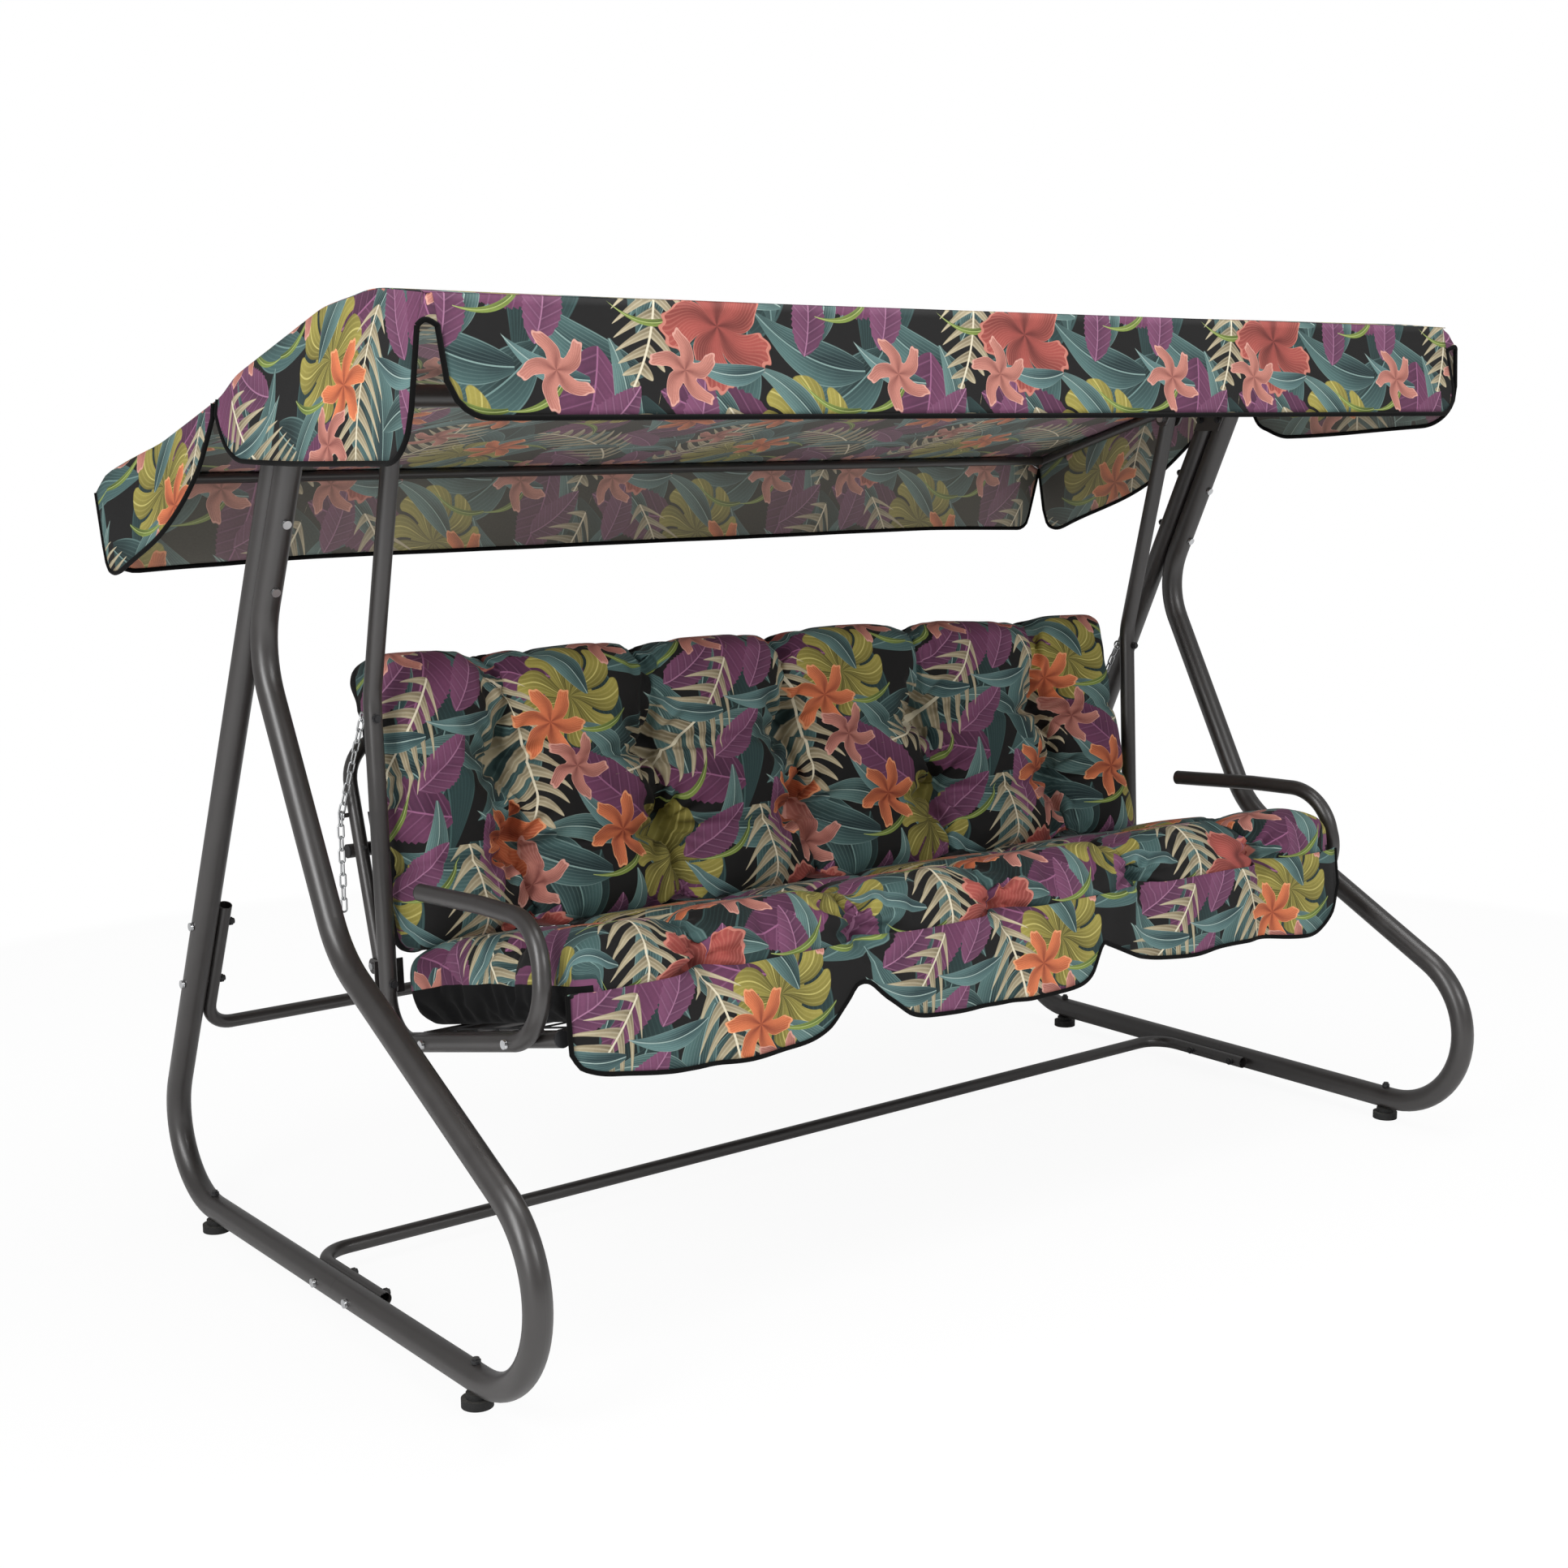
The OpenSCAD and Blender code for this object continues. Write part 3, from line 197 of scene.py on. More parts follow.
def orange_peel():
    """The shallow dimples of a sprayed or moulded surface, as a normal"""
    group, given, gives = new_group("orange_peel", {"Place": "Vector", "Pitch": "Float", "Depth": "Float"},
                                    {"Normal": "Vector", "Mottle": "Float"})
    scale = calc(group, "DIVIDE", 1.0, given["Pitch"])
    dimples = shader(group, "TexNoise", {"Vector": given["Place"], "Scale": scale, "Detail": 2.0}).outputs[0]
    bump = shader(group, "Bump", {"Height": dimples, "Strength": 0.25, "Distance": given["Depth"]})
    mottle = shader(group, "TexNoise", {"Vector": given["Place"], "Scale": 22.0, "Detail": 4.0}).outputs[0]
    return give(group, gives, Normal=bump.outputs[0], Mottle=mottle)


DUST = settled_dust()
PEEL = orange_peel()


def hard_finish(name, dark, light, rough, pitch, depth, dusty, metallic=0.0, shine=0.5):
    """A painted, plated or moulded surface: colour and gloss that vary a little, dimples and dust"""
    finish, tree = bare_material(name)
    place = shader(tree, "TexCoord").outputs["Object"]
    peel = shader(tree, "Group", {"Place": place, "Pitch": pitch, "Depth": depth}, node_tree=PEEL)
    dust = shader(tree, "Group", {"Place": place, "Amount": dusty}, node_tree=DUST).outputs["Dust"]
    tone = mix_colours(tree, peel.outputs["Mottle"], paint(dark), paint(light))
    tone = mix_colours(tree, dust, tone, paint("8d8a84"))
    gloss = shader(tree, "MapRange", {"Value": peel.outputs["Mottle"], "From Min": 0.3, "From Max": 0.7,
                                      "To Min": rough - 0.03, "To Max": rough + 0.03}).outputs[0]
    gloss = plus(tree, gloss, times(tree, dust, 0.5))
    body = shader(tree, "BsdfPrincipled", {"Base Color": tone, "Roughness": gloss, "Metallic": metallic,
                                           "Specular IOR Level": shine, "Normal": peel.outputs["Normal"]})
    shader(tree, "OutputMaterial", {"Surface": body.outputs[0]})
    return finish


frame_paint = hard_finish("frame_paint", "272423", "312e2d", 0.36, 0.006, 0.00003, 0.03, shine=0.8)
finishes = {"frame_paint": frame_paint}

# ---------------------------------------------------------------------------------------------
# Fittings: zinc-plated bolts, pins, springs and chains, black nylon caps, plugs and knobs, rubber
# feet, and the black coated wire of the seat and back nets.

finishes["zinc"] = hard_finish("zinc", "b9bbbd", "d6d7d8", 0.3, 0.0008, 0.0001, 0.2, metallic=1.0)
finishes["black_plastic"] = hard_finish("black_plastic", "17171a", "222224", 0.5, 0.0007, 0.0001, 0.5)
finishes["black_rubber"] = hard_finish("black_rubber", "151515", "1f1f1f", 0.72, 0.0011, 0.0002, 0.8)
finishes["net_wire"] = hard_finish("net_wire", "161617", "212122", 0.42, 0.0009, 0.0001, 0.4)
for part in frame["record"]["subparts"]:
    if part["material_slot"] in finishes:
        for holder in frame["nodes"][part["node"]].material_slots:
            holder.material = finishes[part["material_slot"]]

# ---------------------------------------------------------------------------------------------
# Printed cloth: a close polyester weave, dyed near-black and printed with a repeat of 640 mm:
# strap leaves, broad leaves, cut leaves, palm fronds and blossoms. The UVs are metres of cloth.

REPEAT = 0.64


def minus(tree, value, *others):
    for other in others:
        value = calc(tree, "SUBTRACT", value, other)
    return value


def scaled(tree, value, by, plus_this):
    return calc(tree, "MULTIPLY_ADD", value, by, plus_this)


def print_rows():
    """Divides the cloth into staggered cells: gives each point's place in its cell, and the cell's number"""
    group, given, gives = new_group("print_rows", {"Place": "Vector", "Across": "Float", "Shift": "Float",
                                                   "Turn": "Float", "Lean": "Float"},
                                    {"Local": "Vector", "Chance": "Float", "Tint": "Float"})
    scale = calc(group, "DIVIDE", given["Across"], REPEAT)
    spread = shader(group, "VectorMath", {0: given["Place"], "Scale": scale}, operation="SCALE").outputs[0]
    at = shader(group, "SeparateXYZ", {0: spread}).outputs
    up = plus(group, at[1], given["Shift"])
    row = calc(group, "FLOOR", up)
    odd = calc(group, "FLOORED_MODULO", row, 2.0)
    along = plus(group, at[0], given["Shift"], times(group, odd, 0.5))
    column = calc(group, "FLOOR", along)
    cell = shader(group, "CombineXYZ", {0: calc(group, "FLOORED_MODULO", column, given["Across"]),
                                        1: calc(group, "FLOORED_MODULO", row, given["Across"]),
                                        2: given["Shift"]}).outputs[0]
    draw = shader(group, "TexWhiteNoise", {"Vector": cell}, noise_dimensions="3D").outputs
    pick = shader(group, "SeparateColor", {0: draw["Color"]}).outputs
    middle = shader(group, "CombineXYZ", {
        0: minus(group, along, column, scaled(group, pick[0], 0.16, 0.42)),
        1: minus(group, up, row, scaled(group, pick[1], 0.16, 0.42))}).outputs[0]
    angle = scaled(group, draw["Value"], given["Turn"], given["Lean"])
    turned = shader(group, "VectorRotate", {"Vector": middle, "Angle": angle}, rotation_type="Z_AXIS")
    return give(group, gives, Local=turned.outputs[0], Chance=draw["Value"], Tint=pick[2])


MOTIF = {"Local": "Vector", "Reach": "Float", "Width": "Float", "Ribs": "Float", "Bend": "Float"}
DRAWN = {"Mask": "Float", "Line": "Float", "Depth": "Float"}


def ridges(tree, value, sharp):
    """0 between the lines of a stripe pattern and 1 on them"""
    gap = calc(tree, "ABSOLUTE", scaled(tree, calc(tree, "FRACT", value), 2.0, -1.0))
    return calc(tree, "POWER", gap, sharp)


def bowed(group, given):
    """Along a bowed stem: the distance, the share of its reach from -1 to 1, the signed distance beside it,
    and the room for a leaf"""
    at = shader(group, "SeparateXYZ", {0: given["Local"]}).outputs
    beside = plus(group, at[1], times(group, at[0], at[0], given["Bend"]))
    t = calc(group, "DIVIDE", at[0], given["Reach"])
    room = calc(group, "MAXIMUM", minus(group, 1.0, times(group, t, t)), 0.0)
    return at[0], t, beside, room


def soft_edge(tree, value, width):
    """0 below nought, 1 above the width"""
    return shader(tree, "MapRange", {"Value": value, "From Min": 0.0, "From Max": width}).outputs[0]


def long_leaf():
    """A strap leaf: pointed at both ends, a pale midrib, fine veins that run along it, one half lighter"""
    group, given, gives = new_group("long_leaf", MOTIF, DRAWN)
    _, t, beside, room = bowed(group, given)
    side = calc(group, "ABSOLUTE", beside)
    half = times(group, given["Width"], room, scaled(group, t, -0.35, 0.9))
    out = calc(group, "DIVIDE", side, calc(group, "MAXIMUM", half, 0.001))
    veins = ridges(group, times(group, out, given["Ribs"]), 5.0)
    veins = times(group, veins, scaled(group, t, 0.25, 0.35))
    midrib = calc(group, "LESS_THAN", side, 0.006)
    rim = times(group, calc(group, "GREATER_THAN", out, 0.93), 0.6)
    half_tone = times(group, calc(group, "GREATER_THAN", beside, 0.0), 0.38)
    fold = times(group, calc(group, "SINE", scaled(group, t, 2.6, out)), 0.3)
    return give(group, gives, Mask=soft_edge(group, minus(group, half, side), 0.006),
                Line=calc(group, "MAXIMUM", calc(group, "MAXIMUM", veins, rim), midrib),
                Depth=plus(group, half_tone, fold, times(group, out, 0.35)))


def broad_leaf():
    """A broad leaf with a toothed edge and slanting veins"""
    group, given, gives = new_group("broad_leaf", MOTIF, DRAWN)
    along, t, beside, room = bowed(group, given)
    side = calc(group, "ABSOLUTE", beside)
    slant = minus(group, along, times(group, side, 0.8))
    rows = times(group, slant, given["Ribs"])
    teeth = scaled(group, calc(group, "FRACT", times(group, rows, 2.0)), -0.09, 1.03)
    half = times(group, times(group, given["Width"], calc(group, "POWER", room, 0.75)),
                 times(group, teeth, scaled(group, t, -0.28, 1.0)))
    out = calc(group, "DIVIDE", side, calc(group, "MAXIMUM", half, 0.001))
    veins = times(group, ridges(group, rows, 9.0), 0.65)
    midrib = calc(group, "LESS_THAN", side, 0.007)
    puff = calc(group, "SINE", times(group, calc(group, "FRACT", rows), math.pi))
    half_tone = times(group, calc(group, "GREATER_THAN", beside, 0.0), 0.3)
    half_tone = scaled(group, puff, 0.28, half_tone)
    return give(group, gives, Mask=soft_edge(group, minus(group, half, side), 0.006),
                Line=calc(group, "MAXIMUM", veins, midrib),
                Depth=plus(group, half_tone, times(group, out, 0.25)))


def fern_frond():
    """A palm frond: a bowed stem with long narrow leaflets on both sides"""
    group, given, gives = new_group("fern_frond", MOTIF, DRAWN)
    along, _, beside, room = bowed(group, given)
    side = calc(group, "ABSOLUTE", beside)
    half = times(group, given["Width"], calc(group, "POWER", room, 0.6))
    out = calc(group, "DIVIDE", side, calc(group, "MAXIMUM", half, 0.001))
    sweep = minus(group, along, times(group, side, 0.55), times(group, side, side, 1.6))
    comb = calc(group, "FRACT", times(group, sweep, given["Ribs"]))
    signed = scaled(group, comb, 2.0, -1.0)
    across = calc(group, "ABSOLUTE", signed)
    inwards = calc(group, "MAXIMUM", minus(group, 1.0, out), 0.0)
    taper = times(group, calc(group, "POWER", inwards, 0.55), 0.74)
    blade = times(group, soft_edge(group, minus(group, taper, across), 0.08),
                  calc(group, "LESS_THAN", out, 1.0))
    stem = times(group, calc(group, "LESS_THAN", side, 0.006), calc(group, "GREATER_THAN", room, 0.0))
    streaks = ridges(group, times(group, comb, 4.0), 2.5)
    return give(group, gives, Mask=calc(group, "MAXIMUM", blade, stem),
                Line=calc(group, "MAXIMUM", times(group, streaks, 0.4), stem),
                Depth=scaled(group, signed, 0.45, times(group, out, 0.7)))


def cut_leaf():
    """A round leaf with deep cuts between its lobes, veins that spread from the stalk"""
    group, given, gives = new_group("cut_leaf", MOTIF, DRAWN)
    at = shader(group, "SeparateXYZ", {0: given["Local"]}).outputs
    radius = shader(group, "VectorMath", {0: given["Local"]}, operation="LENGTH").outputs["Value"]
    angle = calc(group, "ARCTAN2", at[1], at[0])
    back = calc(group, "DIVIDE", calc(group, "ABSOLUTE", angle), math.pi)
    swing = times(group, calc(group, "SINE", times(group, radius, 9.0)), given["Bend"])
    lobe = times(group, plus(group, angle, swing), calc(group, "DIVIDE", given["Ribs"], math.tau))
    signed = scaled(group, calc(group, "FRACT", lobe), 2.0, -1.0)
    across = calc(group, "ABSOLUTE", signed)
    edge = times(group, given["Reach"], scaled(group, back, -0.25, 1.0))
    hollow = calc(group, "POWER", across, 3.0)
    edge = times(group, edge, scaled(group, hollow, -0.18, 1.0))
    inside = soft_edge(group, minus(group, edge, radius), 0.006)
    cut = times(group, calc(group, "GREATER_THAN", across, given["Width"]),
                calc(group, "GREATER_THAN", radius, times(group, given["Reach"], 0.42)))
    main = calc(group, "LESS_THAN", across, 0.05)
    small = ridges(group, times(group, lobe, 6.0), 4.0)
    far = calc(group, "DIVIDE", radius, given["Reach"])
    return give(group, gives, Mask=times(group, inside, minus(group, 1.0, cut)),
                Line=calc(group, "MAXIMUM", main, times(group, small, 0.4)),
                Depth=scaled(group, signed, 0.3, times(group, far, 0.7)))


def open_blossom():
    """A blossom of rounded petals: pale rims, streaks that run outwards and a dark throat"""
    group, given, gives = new_group("open_blossom", MOTIF, DRAWN)
    at = shader(group, "SeparateXYZ", {0: given["Local"]}).outputs
    radius = shader(group, "VectorMath", {0: given["Local"]}, operation="LENGTH").outputs["Value"]
    wave = times(group, calc(group, "SINE", times(group, radius, 16.0)), given["Bend"])
    angle = plus(group, calc(group, "ARCTAN2", at[1], at[0]), wave)
    turns = times(group, angle, times(group, given["Ribs"], 0.5))
    petal = calc(group, "ABSOLUTE", calc(group, "COSINE", turns))
    edge = times(group, given["Reach"],
                 scaled(group, calc(group, "POWER", petal, given["Width"]), 0.66, 0.34))
    ruffle = scaled(group, calc(group, "SINE", times(group, angle, 27.0)), 0.035, 1.0)
    out = calc(group, "DIVIDE", radius, times(group, edge, ruffle))
    rim = times(group, calc(group, "GREATER_THAN", out, 0.93), 0.8)
    streaks = ridges(group, times(group, turns, 4.5), 3.0)
    streaks = times(group, streaks, times(group, out, 0.45))
    half_tone = times(group, calc(group, "SINE", times(group, turns, 2.0)), 0.3)
    return give(group, gives, Mask=soft_edge(group, minus(group, 1.0, out), 0.02),
                Line=calc(group, "MAXIMUM", rim, streaks),
                Depth=plus(group, half_tone, scaled(group, out, 0.55, 0.15)))


ROWS, LEAF, BROAD = print_rows(), long_leaf(), broad_leaf()
FERN, CUT_LEAF, BLOSSOM = fern_frond(), cut_leaf(), open_blossom()


def close_weave():
    """Two crossing sets of threads, as a height and as a faint change of tone"""
    group, given, gives = new_group("close_weave", {"Place": "Vector", "Thread": "Float"},
                                    {"Height": "Float", "Tone": "Float"})
    scale = calc(group, "DIVIDE", 1.0, given["Thread"])
    at = shader(group, "VectorMath", {0: given["Place"], "Scale": scale}, operation="SCALE").outputs[0]
    at = shader(group, "SeparateXYZ", {0: at}).outputs
    warp = calc(group, "SINE", times(group, at[0], math.tau))
    weft = calc(group, "SINE", times(group, at[1], math.tau))
    height = scaled(group, times(group, warp, weft), 0.5, 0.5)
    slub = shader(group, "TexNoise", {"Vector": given["Place"], "Scale": 260.0, "Detail": 2.0}).outputs[0]
    return give(group, gives, Height=height, Tone=scaled(group, slub, 0.24, 0.88))


WEAVE = close_weave()

# motif, cells to a repeat, shift, turn, lean, reach, width, ribs, bend, share left out, dark, light, line
PRINT_LAYERS = (
    (LEAF, 2, 0.45, 2.4, 1.3, 0.56, 0.24, 8, 0.30, 0.0, "0f1c1c", "263f3f", "3e5c5a"),
    (LEAF, 3, 0.13, 2.2, 0.6, 0.58, 0.22, 6, 0.35, 0.0, "16292a", "41605f", "6b8a86"),
    (LEAF, 3, 0.83, 2.6, 2.4, 0.57, 0.19, 6, 0.45, 0.10, "1a3033", "4c6e6c", "7f9c97"),
    (BROAD, 3, 0.29, 3.0, 1.0, 0.50, 0.25, 9, 0.25, 0.30, "3a1a33", "71385c", "95587f"),
    (CUT_LEAF, 2, 1.17, 6.3, 0.9, 0.36, 0.88, 9, 0.3, 0.50, "4a4514", "a0953c", "c0b560"),
    (LEAF, 4, 0.37, 3.0, 2.2, 0.57, 0.16, 5, -0.4, 0.25, "203a3b", "597b78", "93aba4"),
    (BROAD, 4, 0.57, 3.0, 2.8, 0.46, 0.20, 9, -0.3, 0.55, "42203a", "7d4468", "a26c8e"),
    (FERN, 2, 1.43, 2.4, 0.2, 0.51, 0.24, 11, 0.5, 0.35, "73664a", "c3b592", "e0d6ba"),
    (LEAF, 5, 0.71, 2.6, 1.1, 0.58, 0.050, 3, 0.7, 0.50, "3f4f1c", "7a8f37", "a5b465"),
    (BLOSSOM, 2, 0.61, 6.3, 0.4, 0.33, 0.55, 5, 0.20, 0.45, "5a1c1a", "a8443a", "d07f6c"),
    (LEAF, 4, 0.19, 2.0, 1.9, 0.50, 0.12, 5, 0.5, 0.55, "1f3a3e", "5a7f7e", "9ab1ab"),
    (BLOSSOM, 3, 1.71, 6.3, 0.0, 0.32, 1.3, 6, 0.12, 0.66, "8a3212", "d8692c", "efa066"),
    (BLOSSOM, 3, 1.05, 6.3, 0.0, 0.30, 2.2, 5, 0.20, 0.70, "7a3a34", "bd7464", "dfa393"),
)


def woven(tree, place, colour, thread, rough, sheen, shine):
    """Finishes a cloth material: the colour in the weave's tone, its threads in relief, and a dull sheen"""
    weave = shader(tree, "Group", {"Place": place, "Thread": thread}, node_tree=WEAVE).outputs
    tone = shader(tree, "CombineColor", {0: weave["Tone"], 1: weave["Tone"], 2: weave["Tone"]}).outputs[0]
    colour = mix_colours(tree, 1.0, colour, tone, way="MULTIPLY")
    bump = shader(tree, "Bump", {"Height": weave["Height"], "Strength": 0.3, "Distance": 0.0003})
    rough = scaled(tree, weave["Tone"], 0.2, rough)
    body = shader(tree, "BsdfPrincipled", {"Base Color": colour, "Roughness": rough, "Sheen Weight": sheen,
                                           "Specular IOR Level": shine, "Normal": bump.outputs[0]})
    shader(tree, "OutputMaterial", {"Surface": body.outputs[0]})


def printed_cloth(name, faded=0.0, value=0.92):
    """The print, laid layer on layer. Its inner side is paler by the share that it has faded, and a value
    above 1 is painted light: the daylight that comes through the cloth
    """
    cloth, tree = bare_material(name)
    place = shader(tree, "UVMap", uv_map="cut").outputs[0]
    wash = shader(tree, "TexNoise", {"Vector": place, "Scale": 16.0, "Detail": 3.0}).outputs[0]
    wash = scaled(tree, wash, 0.5, -0.25)
    colour = paint("0d0c0c")
    for layer in PRINT_LAYERS:
        motif, across, shift, swing, lean, reach, width, ribs, bend, left_out, dark, light, line = layer
        cell = shader(tree, "Group", {"Place": place, "Across": across, "Shift": shift, "Turn": swing,
                                      "Lean": lean}, node_tree=ROWS).outputs
        form = shader(tree, "Group", {"Local": cell["Local"], "Reach": reach, "Width": width, "Ribs": ribs,
                                      "Bend": bend}, node_tree=motif).outputs
        kept = times(tree, form["Mask"], calc(tree, "GREATER_THAN", cell["Chance"], left_out))
        shade = scaled(tree, cell["Tint"], 0.3, form["Depth"])
        shade = calc(tree, "ADD", shade, wash, clamp=True)
        tone = mix_colours(tree, shade, paint(dark), paint(light))
        tone = mix_colours(tree, form["Line"], tone, paint(line))
        colour = mix_colours(tree, kept, colour, tone)
    if faded:
        colour = mix_colours(tree, faded, colour, paint("98958b"))
    colour = shader(tree, "HueSaturation", {"Color": colour, "Saturation": 0.93, "Value": value}).outputs[0]
    woven(tree, place, colour, 0.0011, 0.58, 0.03, 0.3)
    return cloth


def plain_cloth(name, colour, thread):
    cloth, tree = bare_material(name)
    place = shader(tree, "TexCoord").outputs["Object"]
    woven(tree, place, paint(colour), thread, 0.7, 0.02, 0.15)
    return cloth


print_cloth = printed_cloth("printed_cloth")
# The inner sides are painted lighter (value above 1) for the daylight that comes through the cloth, most of
# all the rear valance's, which has the light behind it
print_inside_painted_light = printed_cloth("printed_cloth_inside_painted_light", faded=0.28, value=1.2)
print_backlit = printed_cloth("printed_cloth_backlit", faded=0.34, value=1.5)
lining = plain_cloth("black_lining", "0e0e0f", 0.0010)
tape_cloth = plain_cloth("edging_tape", "060606", 0.0012)

# ---------------------------------------------------------------------------------------------
# Seat cushion: a foam pad in printed cloth with a black lining below, laid on the seat net. Five
# rows of tufts pull it in at the front edge and across the middle, and it swells between them.

TUFTS_X = (-0.655, -0.327, -0.005, 0.348, 0.688)
CLOTH_SWELL = 0.026

# Depth and width of what the threads draw: a sharp crease in a wide hollow along each column, a shallow
# one from tuft to tuft, and at each tuft a pit, with folds round it at a distance
COLUMN_CREASES = ((0.021, 0.0075), (0.015, 0.050))
ROW_CREASES = ((0.007, 0.008), (0.005, 0.035))
PIT_DEPTH, PIT_WIDTH = 0.020, 0.017
FOLD_DEPTH, FOLD_DISTANCE, FOLD_WIDTH = 0.0085, 0.048, 0.036


def piece_from(name, mesh, body, slot, *replaced):
    made = bpy.data.objects.new(name, mesh)
    bpy.context.scene.collection.objects.link(made)
    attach(made, body)
    if replaced:
        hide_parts(*replaced)
    return made


def settled_mesh(thing):
    """A copy of the object's mesh with its modifiers applied"""
    return bpy.data.meshes.new_from_object(thing.evaluated_get(bpy.context.evaluated_depsgraph_get()))


def unroll(value, depth, start, end, edge):
    """How far along the cloth a point lies, where the cloth runs over the ends and down the sides"""
    if value > end - edge:
        turn = math.atan2(value - (end - edge), max(edge - depth, 1e-6)) if depth < edge else math.pi / 2
        return end - edge + edge * turn + max(depth - edge, 0)
    if value < start + edge:
        turn = math.atan2(start + edge - value, max(edge - depth, 1e-6)) if depth < edge else math.pi / 2
        return start + edge - edge * turn - max(depth - edge, 0)
    return value


def eased(value, start, end):
    """0 up to the start, 1 from the end on, and smooth between"""
    t = max(0.0, min(1.0, (value - start) / (end - start)))
    return t * t * (3 - 2 * t)


def bell(distance, width):
    return math.exp(-(distance / width) ** 2)


def crease_depth(p, columns, rows, tufts):
    """How far the threads pull the cloth in at a point: along each column, along each row of tufts,
    where the thread sags between two tufts, and in folds that spread from each tuft"""
    depth = 0.0
    for x in columns:
        off = p.x - x - 0.005 * math.sin(23 * p.y + 40 * x)
        if abs(off) < 0.13:
            depth += sum(deep * bell(off, wide) for deep, wide in COLUMN_CREASES)
    ends = [-0.98] + list(columns) + [1.01]
    for y in rows:
        for start, end in zip(ends, ends[1:]):
            if start <= p.x < end:
                off = p.y - y + 0.016 * math.sin(math.pi * (p.x - start) / (end - start))
                depth += sum(deep * bell(off, wide) for deep, wide in ROW_CREASES)
    for number, (place, into, _, _) in enumerate(tufts):
        off = p - place
        reach = off.length
        if reach < 0.15:
            angle = math.atan2(off.y if abs(into.z) > 0.5 else off.z, off.x)
            folds = math.cos(9 * angle + 2.3 * number) + 0.6 * math.cos(5 * angle + number)
            depth += FOLD_DEPTH * folds * bell(reach - FOLD_DISTANCE, FOLD_WIDTH)
            depth += PIT_DEPTH * bell(reach, PIT_WIDTH)
    return depth


def foam_block(name, low, high, edge):
    """The pad before it is sewn: a block with round edges, as an even mesh. It stays 10 mm inside the
    finished pad's sides and 19 mm below its top, which leaves the cloth room to swell."""
    shape = bmesh.new()
    bmesh.ops.create_cube(shape, size=1)
    inner = high - low - Vector((0.020, 0.020, 0.020))
    bmesh.ops.scale(shape, vec=inner, verts=shape.verts)
    bmesh.ops.translate(shape, vec=(low + high) / 2 - Vector((0, 0, 0.009)), verts=shape.verts)
    bmesh.ops.bevel(shape, geom=shape.edges[:], offset=edge, segments=6, profile=0.5, affect="EDGES",
                    material=-1)
    mesh = bpy.data.meshes.new(name)
    shape.to_mesh(mesh)
    shape.free()
    block = bpy.data.objects.new(name + "_raw", mesh)
    bpy.context.scene.collection.objects.link(block)
    even = block.modifiers.new("even", "REMESH")
    even.mode = "VOXEL"
    even.voxel_size = 0.0115
    mesh = settled_mesh(block)
    bpy.data.objects.remove(block)
    return mesh


def sew_tufts(pad, tufts, underside, seam, front):
    """Pulls the cloth in at the tufts, and marks what the simulation holds: the tufts' middles, the front
    seam and the side that the pad rests on"""
    held = pad.vertex_groups.new(name="held")
    for v in pad.data.vertices:
        flat = v.co.copy()
        pulled = Vector((0, 0, 0))
        for place, into, pull, wide in tufts:
            reach = (flat - place).length
            if reach < 3 * wide:
                near = bell(reach, 1.4 * wide)
                pulled = max(pulled, into * (pull * near), key=lambda way: way.length)
                if near > 0.88:
                    held.add([v.index], 1.0, "REPLACE")
        v.co += pulled
        if flat.z < underside + 0.004 or (abs(flat.z - seam) < 0.007 and flat.y < front + 0.016):
            held.add([v.index], 1.0, "REPLACE")


def blow_up(pad):
    """Swells the cloth between its held places by simulation, and no point by more than CLOTH_SWELL"""
    start = [v.co.copy() for v in pad.data.vertices]
    cloth = pad.modifiers.new("cloth", "CLOTH")
    cloth.settings.quality = 4
    cloth.settings.mass = 0.3
    cloth.settings.tension_stiffness = 10
    cloth.settings.compression_stiffness = 5
    cloth.settings.shear_stiffness = 3
    cloth.settings.bending_stiffness = 0.08
    cloth.settings.shrink_min = -0.06
    cloth.settings.use_pressure = True
    cloth.settings.uniform_pressure_force = 4.5
    cloth.settings.vertex_group_mass = "held"
    cloth.settings.effector_weights.gravity = 0
    cloth.collision_settings.use_collision = False
    for step in range(1, 21):
        bpy.context.scene.frame_set(step)
    blown = settled_mesh(pad)
    bpy.context.scene.frame_set(1)
    for v, rest, moved in zip(pad.data.vertices, start, blown.vertices):
        shift = moved.co - rest
        if shift.length > CLOTH_SWELL:
            shift *= CLOTH_SWELL / shift.length
        v.co = rest + shift
    pad.modifiers.clear()
    bpy.data.meshes.remove(blown)


def cover(mesh, cut, low, high, edge, seam):
    """Lays the print over the pad's top, ends and front as far as the seam, and the lining on the rest"""
    top = high.z - 0.019
    shape = bmesh.new()
    shape.from_mesh(mesh)
    sheet_uv = shape.loops.layers.uv.new("cut")
    for face in shape.faces:
        middle = sum((cut[v.index] for v in face.verts), Vector()) / len(face.verts)
        face.smooth = True
        front = middle.y < low.y + 0.016 and middle.z > seam - 0.016
        face.material_index = 0 if front or middle.z > seam else 1
        for loop in face.loops:
            at = cut[loop.vert.index]
            depth = max(top - at.z, 0)
            loop[sheet_uv].uv = (unroll(at.x, depth, low.x + 0.010, high.x - 0.010, edge),
                                 unroll(at.y, depth, low.y + 0.010, high.y - 0.010, edge))
    shape.to_mesh(mesh)
    shape.free()
    mesh.materials.append(print_cloth)
    mesh.materials.append(lining)


